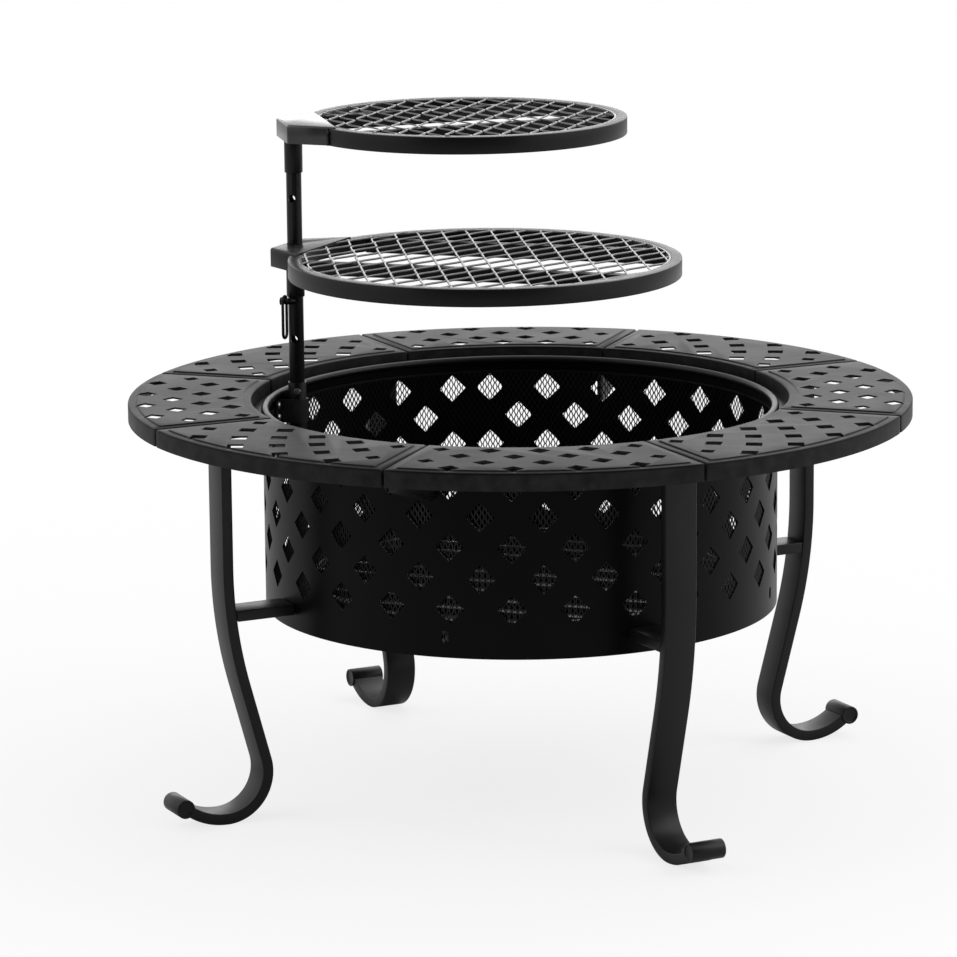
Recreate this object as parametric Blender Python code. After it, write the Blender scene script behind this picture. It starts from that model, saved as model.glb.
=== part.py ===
"""Fire pit: a perforated drum on four legs, a ring table round it and two swing-out grates.

Frame: metres, +Z up, the origin on the drum's axis at floor height. The legs stand at 46, 136,
226 and 316 degrees from +X, one degree round from the table's seams. The pole that carries both
grates stands at 180 degrees.
"""

import math

import bmesh
import bpy
from mathutils import Matrix, Vector

# Driving dimensions, in metres and degrees
GAP = 0.0003
TABLE_RADIUS = 0.4572
TABLE_INNER_RADIUS = 0.3138
TABLE_TOP = 0.466
TABLE_SHEET = 0.002
TABLE_SKIRT = 0.020
TABLE_INNER_SKIRT = 0.018
PANEL_COUNT = 8
PANEL_SEAM_ANGLE = 0.16
PANEL_HOLE_PITCH = 4.55
PANEL_HOLE = 0.0130
PANEL_END_HOLE = 0.0105
PANEL_EVEN_ROWS = (0.341, 0.405)
PANEL_ODD_ROWS = (0.373, 0.437)
PANEL_LINES_EACH_SIDE = 4
TABLE_RING_INNER = 0.30165
TABLE_RING_OUTER = 0.3131
TABLE_RING_BOTTOM = 0.4460
TABLE_RING_TOP = 0.4480

DRUM_RADIUS = 0.3008
DRUM_SHEET = 0.0015
DRUM_BOTTOM = 0.220
DRUM_TOP = 0.4470
DRUM_HOLE = 0.0168
DRUM_ROW_LOW = 0.276
DRUM_ROW_PITCH = 0.0353
DRUM_FIRST_HOLE = 125.1
DRUM_FACET = 6.75
DRUM_FACETS = 53
DRUM_SLOT_HEIGHT = 0.244
DRUM_SLOT = (0.008, 0.014)
DRUM_SLOT_ANGLE = 2.5
RIM_WIRE = 0.0045
RIM_RADIUS = 0.298
LINER_RADIUS = 0.2984
LINER_SHEET = 0.0012
LINER_TOP = 0.438
LINER_HALF_GAP = 6.4
LINER_FACETS = 52
PAN_RADIUS = 0.2983
PAN_HEIGHT = 0.222
PAN_SHEET = 0.002
PAN_FLANGE = 0.0105
PAN_SIDES = 52
FIRE_GRATE_RADIUS = 0.250
FIRE_GRATE_BAR = 0.010
FIRE_GRATE_BAR_STEP = 0.001
FIRE_GRATE_BOTTOM = 0.240
FIRE_GRATE_PITCH = 0.046
FIRE_GRATE_FOOT_RADIUS = 0.2445
FIRE_GRATE_FOOT = 0.004
FIRE_GRATE_BARS_EACH_SIDE = 4
FIRE_GRATE_SIDES = 48

LEG_WIDTH = 0.038
LEG_THICK = 0.0127
LEG_RADIUS = 0.3825
LEG_FIRST_ANGLE = 46.0
LEG_TOP = TABLE_TOP - TABLE_SKIRT - GAP
LEG_BEND_HEIGHT = 0.300
LEG_BEND_RADIUS = 0.530
LEG_SLOPE = 15.3
HOOK_RADIUS = 0.051
TOE_RADIUS = 0.080
TOE_ANGLE = 33.0
FOOT_ROLL_RADIUS = 0.011
FOOT_ROLL_WIDTH = 0.042
FOOT_SADDLE_RADIUS = 0.0115
STRUT_BOTTOM = 0.2374
BRACKET_REACH = 0.430
BRACKET_WEB = 0.006
BRACKET_FLANGE = (0.030, 0.003)
BRACKET_DEPTH = 0.045
BRACKET_TIP_DEPTH = 0.012

POLE_DISTANCE = 0.280
POLE_RADIUS = 0.009
POLE_BORE = 0.0075
POLE_BOTTOM = 0.345
POLE_HOLE = 0.0045
POLE_FREE_HOLES = (0.5165, 0.6845)
TUBE_RADIUS = 0.01075
TUBE_BORE = 0.00945
SOCKET_BOTTOM = 0.300
SOCKET_TOP = 0.464
ROUND_SIDES = 24
PIN_DIRECTION = -90.0
PIN_HEIGHT = 0.563
PIN_RADIUS = 0.0038
PIN_REAR = 0.016
PIN_ARM = 0.0158
PIN_BEND = 0.004
PIN_ARM_LENGTH = 0.013
PIN_STOP_LENGTH = 0.0028
PIN_STOP_SWELL = 1.25
PIN_RING_ASIDE = 0.0080
PIN_RING_WIRE = 0.00175
PIN_RING_HALF_WIDTH = 0.0060
PIN_RING_DROP = 0.044
SADDLE_SHEET = 0.002
SADDLE_FLANGE = 0.0285
SADDLE_BACK = 0.29715
SADDLE_HEIGHTS = {"socket_saddle_upper": (0.416, 0.444), "socket_saddle_lower": (0.314, 0.342)}
RIVET_ASIDE = 0.022
RIVET_HEIGHTS = (0.424, 0.438, 0.328)
RIVET_SHANK = 0.0024
RIVET_HOLE = 0.0029
RIVET_HEAD = 0.0046
RIVET_HEAD_THICK = 0.0024
RIVET_CROWN = 0.55
RIVET_SIDES = 10
SCREW_DIRECTION = -68.0
SCREW_HEIGHT = 0.4545
SCREW_RADIUS = 0.0025
SCREW_HOLE = 0.003
SCREW_LENGTH = 0.0145
SCREW_HEAD = 0.0042
SCREW_HEAD_START = 0.01155
SCREW_HEAD_END = 0.0155
OVERCUT = 0.01

RING_BAND = 0.0125
RING_DEPTH = 0.020
RING_SHEET = 0.002
RING_SIDES = 60
RING_TO_POLE = 0.018
UPPER_RADIUS = 0.1905
UPPER_PLATE_TOP = 0.776
UPPER_SWING = 31.5
UPPER_SLEEVE_BOTTOM = 0.715
LOWER_RADIUS = 0.2286
LOWER_PLATE_TOP = 0.630
LOWER_SWING = -5.0
LOWER_SLEEVE_BOTTOM = PIN_HEIGHT + PIN_RADIUS + GAP
PLATE_SHEET = 0.002
PLATE_BACK = 0.0135
PLATE_FRONT = 0.038
PLATE_HALF_WIDTH = 0.039
PLATE_FLARE = 34.0
PLATE_CORNER = 0.006
MESH_SHEET = 0.002
MESH_STRAND = 0.0024
MESH_RIM = 0.0025
MESH_SHORT_WAY = 0.033
MESH_LONG_WAY = 0.066
MESH_SMALLEST_GAP = 0.00006
UPPER_MESH_TURN = 86.5
LOWER_MESH_TURN = 94.0
BAR_DEPTH = 0.017
BAR_FLANGE = 0.0127
BAR_SHEET = 0.002
UPPER_BAR_TURN = 12.0
LOWER_BAR_TURN = 7.0
BAR_OFFSETS = (0.505, -0.25)

BLACK_COAT = (0.030, 0.030, 0.031, 1.0)
TABLE_COAT = (0.060, 0.060, 0.062, 1.0)
WIRE_COAT = (0.110, 0.110, 0.112, 1.0)
ZINC = (0.40, 0.40, 0.41, 1.0)


def clear_scene():
    """Removes what the scene holds."""
    for item in list(bpy.data.objects):
        bpy.data.objects.remove(item, do_unlink=True)


def along(angle):
    """A horizontal unit vector at an angle in degrees from +X."""
    turn = math.radians(angle)
    return Vector((math.cos(turn), math.sin(turn), 0.0))


def across(angle):
    """The horizontal unit vector a quarter turn ahead of along(angle)."""
    return along(angle + 90.0)


def upright(height):
    """A vertical vector."""
    return Vector((0.0, 0.0, height))


def dressed(obj, colour, roughness, metallic):
    """Gives an object a material of its own."""
    coat = bpy.data.materials.new(obj.name + "_finish")
    coat.use_nodes = True
    shader = coat.node_tree.nodes["Principled BSDF"]
    shader.inputs["Base Color"].default_value = colour
    shader.inputs["Roughness"].default_value = roughness
    shader.inputs["Metallic"].default_value = metallic
    obj.data.materials.append(coat)
    coat.diffuse_color = colour


def placed(name, mesh, parent=None, angle=0.0, colour=BLACK_COAT, roughness=0.42, metallic=0.0):
    """Makes a named object from a mesh, turned about the upright axis and under its parent."""
    obj = bpy.data.objects.new(name, mesh)
    bpy.context.scene.collection.objects.link(obj)
    obj.parent = parent
    obj.rotation_euler.z = math.radians(angle)
    dressed(obj, colour, roughness, metallic)
    return obj


def axis_empty(name, place, angle, parent=None):
    """An empty that stands on a joint's axis."""
    empty = bpy.data.objects.new(name, None)
    bpy.context.scene.collection.objects.link(empty)
    empty.location = place
    empty.rotation_euler.z = math.radians(angle)
    empty.parent = parent
    return empty


def finished(shape, name, crease=None):
    """Turns a bmesh into a mesh, shaded smooth up to a crease angle in degrees."""
    mesh = bpy.data.meshes.new(name)
    shape.to_mesh(mesh)
    shape.free()
    if crease is not None:
        mesh.shade_smooth()
        mesh.set_sharp_from_angle(angle=math.radians(crease))
    return mesh


def add_prism(shape, outline, sweep):
    """Adds a closed prism: an outline of points swept along a vector."""
    near = [shape.verts.new(point) for point in outline]
    far = [shape.verts.new(point + sweep) for point in outline]
    count = len(outline)
    faces = [shape.faces.new(near[::-1]), shape.faces.new(far)]
    for index in range(count):
        following = (index + 1) % count
        faces.append(shape.faces.new((near[index], near[following], far[following], far[index])))
    bmesh.ops.recalc_face_normals(shape, faces=faces)


def prism(name, outline, sweep, crease=None):
    """A mesh of one prism."""
    shape = bmesh.new()
    add_prism(shape, outline, sweep)
    return finished(shape, name, crease)


def add_rod(shape, start, end, radius, sides=ROUND_SIDES, end_radius=None):
    """Adds a closed round bar, or a cone, between two points."""
    run = end - start
    turn = upright(1.0).rotation_difference(run.normalized()).to_matrix().to_4x4()
    bmesh.ops.create_cone(
        shape, cap_ends=True, segments=sides, radius1=radius,
        radius2=radius if end_radius is None else end_radius, depth=run.length,
        matrix=Matrix.Translation((start + end) / 2.0) @ turn)


def rod(name, start, end, radius, sides=ROUND_SIDES):
    """A mesh of one round bar."""
    shape = bmesh.new()
    add_rod(shape, start, end, radius, sides)
    return finished(shape, name, 40.0)


def add_lathe(shape, profile, centre, sides):
    """Adds a turned ring: a closed profile of (radius, height) points about an upright axis."""
    rings = []
    for index in range(sides):
        ray = along(360.0 * index / sides)
        ring = [centre + ray * radius + upright(height) for radius, height in profile]
        rings.append([shape.verts.new(point) for point in ring])
    faces = []
    for index, ring in enumerate(rings):
        following = rings[(index + 1) % sides]
        for step in range(len(profile)):
            ahead = (step + 1) % len(profile)
            faces.append(shape.faces.new((ring[step], following[step], following[ahead], ring[ahead])))
    bmesh.ops.recalc_face_normals(shape, faces=faces)


def lathe(name, profile, centre=Vector(), sides=ROUND_SIDES):
    """A mesh of one turned ring."""
    shape = bmesh.new()
    add_lathe(shape, profile, centre, sides)
    return finished(shape, name, 40.0)


def tool(name, shape, parent=None, angle=0.0):
    """A shape that only cuts or joins others, and isn't part of the model itself."""
    mesh = finished(shape, name)
    obj = bpy.data.objects.new(name, mesh)
    bpy.context.scene.collection.objects.link(obj)
    obj.parent = parent
    obj.rotation_euler.z = math.radians(angle)
    obj.hide_render = True
    obj.display_type = "WIRE"
    return obj


def combined(obj, operand, operation):
    """Cuts an object with another, or joins the two."""
    step = obj.modifiers.new(operand.name, "BOOLEAN")
    step.operation = operation
    step.solver = "EXACT"
    step.object = operand
    return obj


def thickened(obj, sheet):
    """Gives a surface its thickness on the side its faces turn away from."""
    step = obj.modifiers.new("sheet", "SOLIDIFY")
    step.thickness = sheet
    step.offset = -1.0
    step.use_even_offset = True
    return obj


def edge_run(lines, index, side, start, end):
    """Positions up one line: its ends, and the corners of the holes that sit on it."""
    run = [(start, 0.0)]
    for centre, half in lines[index][1]:
        run += [(centre - half, 0.0), (centre, side * half), (centre + half, 0.0)]
    return run + [(end, 0.0)]


def perforated_sheet(shape, lines, start, end, place, closed):
    """Fills the strips between neighbouring lines; each diamond hole on a line is half in each."""
    shared = {}
    faces = []

    def corner(index, position, aside):
        key = (index, round(position, 6), round(aside, 6))
        if key not in shared:
            shared[key] = shape.verts.new(place(lines[index][0], position, aside))
        return shared[key]

    count = len(lines)
    for index in range(count if closed else count - 1):
        following = (index + 1) % count
        rising = [corner(index, *spot) for spot in edge_run(lines, index, 1.0, start, end)]
        falling = [corner(following, *spot) for spot in edge_run(lines, following, -1.0, start, end)]
        faces.append(shape.faces.new(rising + falling[::-1]))
    return faces, corner


def panel_lines():
    """The radial lines of a table panel, as an angle and the holes on it."""
    half = 180.0 / PANEL_COUNT - PANEL_SEAM_ANGLE
    lines = [(-half, [])]
    for step in range(-PANEL_LINES_EACH_SIDE, PANEL_LINES_EACH_SIDE + 1):
        rows = PANEL_ODD_ROWS if step % 2 else PANEL_EVEN_ROWS
        size = PANEL_END_HOLE if abs(step) == PANEL_LINES_EACH_SIDE else PANEL_HOLE
        lines.append((step * PANEL_HOLE_PITCH, [(row, size) for row in rows]))
    lines.append((half, []))
    return lines


def panel_place(angle, position, aside):
    """A point of the table top on a radial line, or beside it."""
    return along(angle) * position + across(angle) * aside + upright(TABLE_TOP)


def add_panel_skirts(shape, lines, corner):
    """Folds the panel's four edges down: outer skirt, short inner skirt and the two end flanges."""
    outer = [corner(index, TABLE_RADIUS, 0.0) for index in range(len(lines))]
    inner = [corner(index, TABLE_INNER_RADIUS, 0.0) for index in range(len(lines))]
    outer_low = [shape.verts.new(vert.co - upright(TABLE_SKIRT)) for vert in outer]
    inner_low = [shape.verts.new(vert.co - upright(TABLE_INNER_SKIRT)) for vert in inner]
    for index in range(len(lines) - 1):
        shape.faces.new((outer[index], outer_low[index], outer_low[index + 1], outer[index + 1]))
        shape.faces.new((inner[index + 1], inner_low[index + 1], inner_low[index], inner[index]))
    for end in (0, -1):
        foot = shape.verts.new(inner[end].co - upright(TABLE_SKIRT))
        loop = [inner[end], inner_low[end], foot, outer_low[end], outer[end]]
        shape.faces.new(loop if end == 0 else loop[::-1])


def panel_mesh():
    """One table panel as a folded surface."""
    shape = bmesh.new()
    lines = panel_lines()
    _, corner = perforated_sheet(shape, lines, TABLE_INNER_RADIUS, TABLE_RADIUS, panel_place, False)
    add_panel_skirts(shape, lines, corner)
    return finished(shape, "table_panel")


def make_table():
    """Eight separate pressed panels, and the flat ring between them and the drum."""
    for number in range(1, PANEL_COUNT + 1):
        pitch = 360.0 / PANEL_COUNT
        panel = placed(f"table_panel_{number}", panel_mesh(), angle=pitch * (number - 0.5),
                       colour=TABLE_COAT, roughness=0.5)
        thickened(panel, TABLE_SHEET)
    profile = [(TABLE_RING_INNER, TABLE_RING_BOTTOM), (TABLE_RING_OUTER, TABLE_RING_BOTTOM),
               (TABLE_RING_OUTER, TABLE_RING_TOP), (TABLE_RING_INNER, TABLE_RING_TOP)]
    placed("table_ring", lathe("table_ring", profile, sides=DRUM_FACETS))


def bracket_mesh():
    """The upright web of a table bracket, from the drum's wall outwards, in its own X-Z plane."""
    start = DRUM_RADIUS + GAP
    top = LEG_TOP - BRACKET_FLANGE[1] / 2.0
    aside = Vector((0.0, -BRACKET_WEB / 2.0, 0.0))
    outline = [Vector((start, 0.0, top)), Vector((BRACKET_REACH, 0.0, top)),
               Vector((BRACKET_REACH, 0.0, LEG_TOP - BRACKET_TIP_DEPTH)),
               Vector((start, 0.0, LEG_TOP - BRACKET_DEPTH))]
    return prism("table_bracket", [point + aside for point in outline], Vector((0.0, BRACKET_WEB, 0.0)))


def bracket_flange_shape():
    """The flat top of a table bracket."""
    shape = bmesh.new()
    start = DRUM_RADIUS + GAP
    half = BRACKET_FLANGE[0] / 2.0
    low = LEG_TOP - BRACKET_FLANGE[1]
    outline = [Vector((start, -half, low)), Vector((BRACKET_REACH, -half, low)),
               Vector((BRACKET_REACH, half, low)), Vector((start, half, low))]
    add_prism(shape, outline, upright(BRACKET_FLANGE[1]))
    return shape


def make_table_brackets():
    """Four T-section brackets under the seams that no leg carries."""
    for number in range(1, 5):
        angle = 90.0 * (number - 1)
        bracket = placed(f"table_bracket_{number}", bracket_mesh(), angle=angle)
        flange = tool(f"table_bracket_{number}_flange", bracket_flange_shape(), angle=angle)
        combined(bracket, flange, "UNION")


def leg_centre_at(height):
    """Radius of the leg's centre line on its upper, upright and bent stretch."""
    drop = max(0.0, LEG_BEND_HEIGHT - height)
    return LEG_RADIUS - LEG_BEND_RADIUS + math.sqrt(LEG_BEND_RADIUS ** 2 - drop ** 2)


def leg_path():
    """Centre line of a leg as (radius, height, heading), heading in degrees from +R towards +Z."""
    path = [(LEG_RADIUS, LEG_TOP, -90.0)]
    for step in range(5):
        turn = LEG_SLOPE * step / 4.0
        height = LEG_BEND_HEIGHT - LEG_BEND_RADIUS * math.sin(math.radians(turn))
        path.append((leg_centre_at(height), height, -90.0 - turn))
    hook_height = HOOK_RADIUS + LEG_THICK / 2.0
    slope = math.radians(LEG_SLOPE)
    start_height = hook_height + HOOK_RADIUS * math.sin(slope)
    start_radius = path[-1][0] - (path[-1][1] - start_height) * math.tan(slope)
    hook_radius = start_radius + HOOK_RADIUS * math.cos(slope)
    steps = 12
    for step in range(steps + 1):
        heading = -90.0 - LEG_SLOPE + (90.0 + LEG_SLOPE) * step / steps
        turn = math.radians(heading)
        path.append((hook_radius + HOOK_RADIUS * math.sin(turn),
                     hook_height - HOOK_RADIUS * math.cos(turn), heading))
    for step in range(1, 6):
        heading = TOE_ANGLE * step / 5.0
        turn = math.radians(heading)
        path.append((hook_radius + TOE_RADIUS * math.sin(turn),
                     LEG_THICK / 2.0 + TOE_RADIUS * (1.0 - math.cos(turn)), heading))
    return path


def foot_roll_centre():
    """Centre of the foot roll: it lies in the hollow end of the toe."""
    radius, height, heading = leg_path()[-1]
    turn = math.radians(heading)
    return radius + FOOT_SADDLE_RADIUS * math.cos(turn), height + FOOT_SADDLE_RADIUS * math.sin(turn)


def leg_outline():
    """Side view of a leg: both edges of the bent bar, and the hollow that takes the foot roll."""
    half = LEG_THICK / 2.0
    path = leg_path()
    centre = foot_roll_centre()
    left = []
    right = []
    for radius, height, heading in path[:-1]:
        turn = math.radians(heading)
        left.append((radius - half * math.sin(turn), height + half * math.cos(turn)))
        right.append((radius + half * math.sin(turn), height - half * math.cos(turn)))
    reach = math.degrees(math.asin(half / FOOT_SADDLE_RADIUS))
    hollow = []
    for step in range(5):
        turn = math.radians(180.0 + TOE_ANGLE + reach * (1.0 - step / 2.0))
        hollow.append((centre[0] + FOOT_SADDLE_RADIUS * math.cos(turn),
                       centre[1] + FOOT_SADDLE_RADIUS * math.sin(turn)))
    return right + hollow + left[::-1]


def leg_mesh():
    """One leg: a flat bar bent in its own X-Z plane."""
    edge = Vector((0.0, -LEG_WIDTH / 2.0, 0.0))
    outline = [Vector((radius, 0.0, height)) + edge for radius, height in leg_outline()]
    return prism("leg", outline, Vector((0.0, LEG_WIDTH, 0.0)), 30.0)


def strut_mesh():
    """The flat bar that ties a leg to the drum."""
    low = STRUT_BOTTOM
    top = STRUT_BOTTOM + LEG_THICK
    inside = LEG_THICK / 2.0 + 2.0 * GAP
    edge = Vector((0.0, -LEG_WIDTH / 2.0, 0.0))
    outline = [Vector((DRUM_RADIUS + GAP, 0.0, low)), Vector((leg_centre_at(low) - inside, 0.0, low)),
               Vector((leg_centre_at(top) - inside, 0.0, top)), Vector((DRUM_RADIUS + GAP, 0.0, top))]
    return prism("leg_strut", [point + edge for point in outline], Vector((0.0, LEG_WIDTH, 0.0)))


def make_legs():
    """Four legs, each with its foot roll and its strut."""
    for number in range(1, 5):
        angle = LEG_FIRST_ANGLE + 90.0 * (number - 1)
        placed(f"leg_{number}", leg_mesh(), angle=angle)
        placed(f"leg_strut_{number}", strut_mesh(), angle=angle)
        radius, height = foot_roll_centre()
        half = Vector((0.0, FOOT_ROLL_WIDTH / 2.0, 0.0))
        centre = Vector((radius, 0.0, height))
        roll = rod("foot_roll", centre - half, centre + half, FOOT_ROLL_RADIUS)
        placed(f"foot_roll_{number}", roll, angle=angle)


def drum_lines():
    """Upright lines round the drum: facet edges, and the facets' middles with their holes."""
    rows = [DRUM_ROW_LOW + DRUM_ROW_PITCH * row for row in range(5)]
    lines = []
    for facet in range(DRUM_FACETS):
        middle = DRUM_FIRST_HOLE + DRUM_FACET * facet
        heights = rows[1::2] if facet % 2 else rows[::2]
        lines.append((middle - DRUM_FACET / 2.0, []))
        lines.append((middle, [(height, DRUM_HOLE) for height in heights]))
    lines.append((DRUM_FIRST_HOLE + DRUM_FACET * (DRUM_FACETS - 0.5), []))
    return lines


def drum_place(angle, position, aside):
    """A point of the drum's wall: facet edges lie on the circle and middles on the flat between."""
    steps = (angle - DRUM_FIRST_HOLE) / DRUM_FACET
    on_middle = abs(steps - round(steps)) < 0.1 and 0 <= round(steps) < DRUM_FACETS
    radius = DRUM_RADIUS * math.cos(math.radians(DRUM_FACET / 2.0)) if on_middle else DRUM_RADIUS
    return along(angle) * radius + across(angle) * aside + upright(position)


def drum_mesh():
    """The drum's outer surface with its diamond holes."""
    shape = bmesh.new()
    faces, _ = perforated_sheet(shape, drum_lines(), DRUM_BOTTOM, DRUM_TOP, drum_place, True)
    bmesh.ops.reverse_faces(shape, faces=faces)
    return finished(shape, "drum_shell", 20.0)


def slot_shape():
    """Four round-ended air slots near the drum's foot."""
    shape = bmesh.new()
    half_width = DRUM_SLOT[0] / 2.0
    half_straight = DRUM_SLOT[1] / 2.0 - half_width
    for quarter in range(4):
        angle = DRUM_SLOT_ANGLE + 90.0 * quarter
        centre = along(angle) * (DRUM_RADIUS - OVERCUT) + upright(DRUM_SLOT_HEIGHT)
        outline = []
        for step in range(12):
            turn = math.radians(15.0 + 30.0 * step)
            lift = half_straight if math.sin(turn) > 0.0 else -half_straight
            outline.append(centre + across(angle) * half_width * math.cos(turn)
                           + upright(lift + half_width * math.sin(turn)))
        add_prism(shape, outline, along(angle) * 2.0 * OVERCUT)
    return shape


def rivet_places():
    """Rivets through the two socket saddles, as (side offset, height)."""
    return [(side * RIVET_ASIDE, height) for height in RIVET_HEIGHTS for side in (-1.0, 1.0)]


def rivet_hole_shape():
    """Cutters for the rivets' holes, along X at the pole's side of the drum."""
    shape = bmesh.new()
    for aside, height in rivet_places():
        start = Vector((-DRUM_RADIUS - OVERCUT, aside, height))
        add_rod(shape, start, start + Vector((3.0 * OVERCUT, 0.0, 0.0)), RIVET_HOLE, RIVET_SIDES)
    return shape


def make_drum():
    """The drum with its rim, its mesh liner and its floor pan."""
    shell = thickened(placed("drum_shell", drum_mesh()), DRUM_SHEET)
    combined(shell, tool("slots", slot_shape()), "DIFFERENCE")
    combined(shell, tool("rivet_holes", rivet_hole_shape()), "DIFFERENCE")
    turns = [math.radians(45.0 * step) for step in range(8)]
    rim_height = DRUM_TOP + GAP + RIM_WIRE
    wire = [(RIM_RADIUS + RIM_WIRE * math.cos(turn), rim_height + RIM_WIRE * math.sin(turn))
            for turn in turns]
    placed("drum_rim", lathe("drum_rim", wire, sides=DRUM_FACETS))
    thickened(placed("mesh_liner", liner_mesh(), colour=WIRE_COAT), LINER_SHEET)
    thickened(placed("base_pan", pan_mesh()), PAN_SHEET)


def liner_mesh():
    """The liner's outer surface: an open strip whose ends leave room for the socket saddles."""
    shape = bmesh.new()
    low = PAN_HEIGHT + PAN_FLANGE + GAP
    sweep = 360.0 - 2.0 * LINER_HALF_GAP
    columns = []
    for step in range(LINER_FACETS + 1):
        ray = along(180.0 + LINER_HALF_GAP + sweep * step / LINER_FACETS) * LINER_RADIUS
        columns.append((shape.verts.new(ray + upright(low)), shape.verts.new(ray + upright(LINER_TOP))))
    for near, far in zip(columns, columns[1:]):
        shape.faces.new((near[0], far[0], far[1], near[1]))
    return finished(shape, "mesh_liner", 20.0)


def pan_mesh():
    """The floor pan's lower surface with its upturned edge."""
    shape = bmesh.new()
    floor = []
    edge = []
    for step in range(PAN_SIDES):
        ray = along(360.0 * step / PAN_SIDES) * PAN_RADIUS
        floor.append(shape.verts.new(ray + upright(PAN_HEIGHT)))
        edge.append(shape.verts.new(ray + upright(PAN_HEIGHT + PAN_FLANGE)))
    shape.faces.new(floor[::-1])
    for step in range(PAN_SIDES):
        following = (step + 1) % PAN_SIDES
        shape.faces.new((floor[step], floor[following], edge[following], edge[step]))
    return finished(shape, "base_pan", 30.0)


def fire_grate_bar_shape():
    """The fire grate's bars."""
    shape = bmesh.new()
    half = FIRE_GRATE_BAR / 2.0
    low = FIRE_GRATE_BOTTOM + FIRE_GRATE_BAR_STEP
    for step in range(-FIRE_GRATE_BARS_EACH_SIDE, FIRE_GRATE_BARS_EACH_SIDE + 1):
        aside = FIRE_GRATE_PITCH * step
        reach = math.sqrt((FIRE_GRATE_RADIUS - half) ** 2 - aside ** 2)
        outline = [Vector((-reach, aside - half, low)), Vector((reach, aside - half, low)),
                   Vector((reach, aside + half, low)), Vector((-reach, aside + half, low))]
        add_prism(shape, outline, upright(FIRE_GRATE_BAR - 2.0 * FIRE_GRATE_BAR_STEP))
    return shape


def fire_grate_foot_shape():
    """The fire grate's four feet."""
    shape = bmesh.new()
    low = PAN_HEIGHT + PAN_SHEET + GAP
    for quarter in range(4):
        foot = along(45.0 + 90.0 * quarter) * FIRE_GRATE_FOOT_RADIUS
        top = FIRE_GRATE_BOTTOM + FIRE_GRATE_BAR / 2.0
        add_rod(shape, foot + upright(low), foot + upright(top), FIRE_GRATE_FOOT, 8)
    return shape


def make_fire_grate():
    """The loose grate that lies on the pan and holds the logs."""
    lift = axis_empty("fire_grate_lift", Vector(), 0.0)
    outer = FIRE_GRATE_RADIUS
    inner = FIRE_GRATE_RADIUS - FIRE_GRATE_BAR
    low = FIRE_GRATE_BOTTOM
    top = FIRE_GRATE_BOTTOM + FIRE_GRATE_BAR
    profile = [(inner, low), (outer, low), (outer, top), (inner, top)]
    grate = placed("fire_grate", lathe("fire_grate", profile, sides=FIRE_GRATE_SIDES), lift)
    combined(grate, tool("fire_grate_bars", fire_grate_bar_shape(), lift), "UNION")
    combined(grate, tool("fire_grate_feet", fire_grate_foot_shape(), lift), "UNION")


def tube_profile(low, top, bore, radius):
    """A tube's wall as a closed profile."""
    return [(bore, low), (radius, low), (radius, top), (bore, top)]


def saddle_mesh(low, top):
    """A strap bent round the socket tube, with a flange each side against the drum's wall."""
    inner = TUBE_RADIUS + GAP
    outer = inner + SADDLE_SHEET
    back = SADDLE_BACK
    face = SADDLE_BACK - SADDLE_SHEET
    half_turn = [math.radians(-90.0 + 22.5 * step) for step in range(9)]
    inside = [(POLE_DISTANCE - inner * math.cos(turn), inner * math.sin(turn)) for turn in half_turn]
    outside = [(POLE_DISTANCE - outer * math.cos(turn), outer * math.sin(turn)) for turn in half_turn]
    points = [(back, -SADDLE_FLANGE), (back, -inner)] + inside
    points += [(back, inner), (back, SADDLE_FLANGE), (face, SADDLE_FLANGE), (face, outer)]
    points += outside[::-1] + [(face, -outer), (face, -SADDLE_FLANGE)]
    outline = [Vector((-distance, aside, low)) for distance, aside in points]
    return prism("socket_saddle", outline, upright(top - low), 30.0)


def rivet_mesh(aside, height):
    """A rivet: head inside the saddle's flange, shank through the drum and a closed tail."""
    flange = SADDLE_BACK - SADDLE_SHEET - GAP
    tail = DRUM_RADIUS + GAP
    crown = RIVET_HEAD * RIVET_CROWN
    profile = [(flange - RIVET_HEAD_THICK, crown), (flange - RIVET_HEAD_THICK / 2.0, RIVET_HEAD),
               (flange, RIVET_HEAD), (flange, RIVET_SHANK), (tail, RIVET_SHANK), (tail, RIVET_HEAD),
               (tail + RIVET_HEAD_THICK, crown)]
    shape = bmesh.new()
    rings = []
    for distance, radius in profile:
        ring = []
        for step in range(RIVET_SIDES):
            turn = 2.0 * math.pi * step / RIVET_SIDES
            spot = (-distance, aside + radius * math.cos(turn), height + radius * math.sin(turn))
            ring.append(shape.verts.new(spot))
        rings.append(ring)
    for near, far in zip(rings, rings[1:]):
        for step in range(RIVET_SIDES):
            following = (step + 1) % RIVET_SIDES
            shape.faces.new((near[step], near[following], far[following], far[step]))
    shape.faces.new(rings[0])
    shape.faces.new(rings[-1])
    bmesh.ops.recalc_face_normals(shape, faces=shape.faces[:])
    return finished(shape, "socket_rivet", 40.0)


def screw_shape(start, end, radius, sides):
    """A round or six-sided length of the set screw, square to the pole."""
    shape = bmesh.new()
    ray = along(SCREW_DIRECTION)
    pole = Vector((-POLE_DISTANCE, 0.0, SCREW_HEIGHT))
    add_rod(shape, pole + ray * start, pole + ray * end, radius, sides)
    return shape


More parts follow.
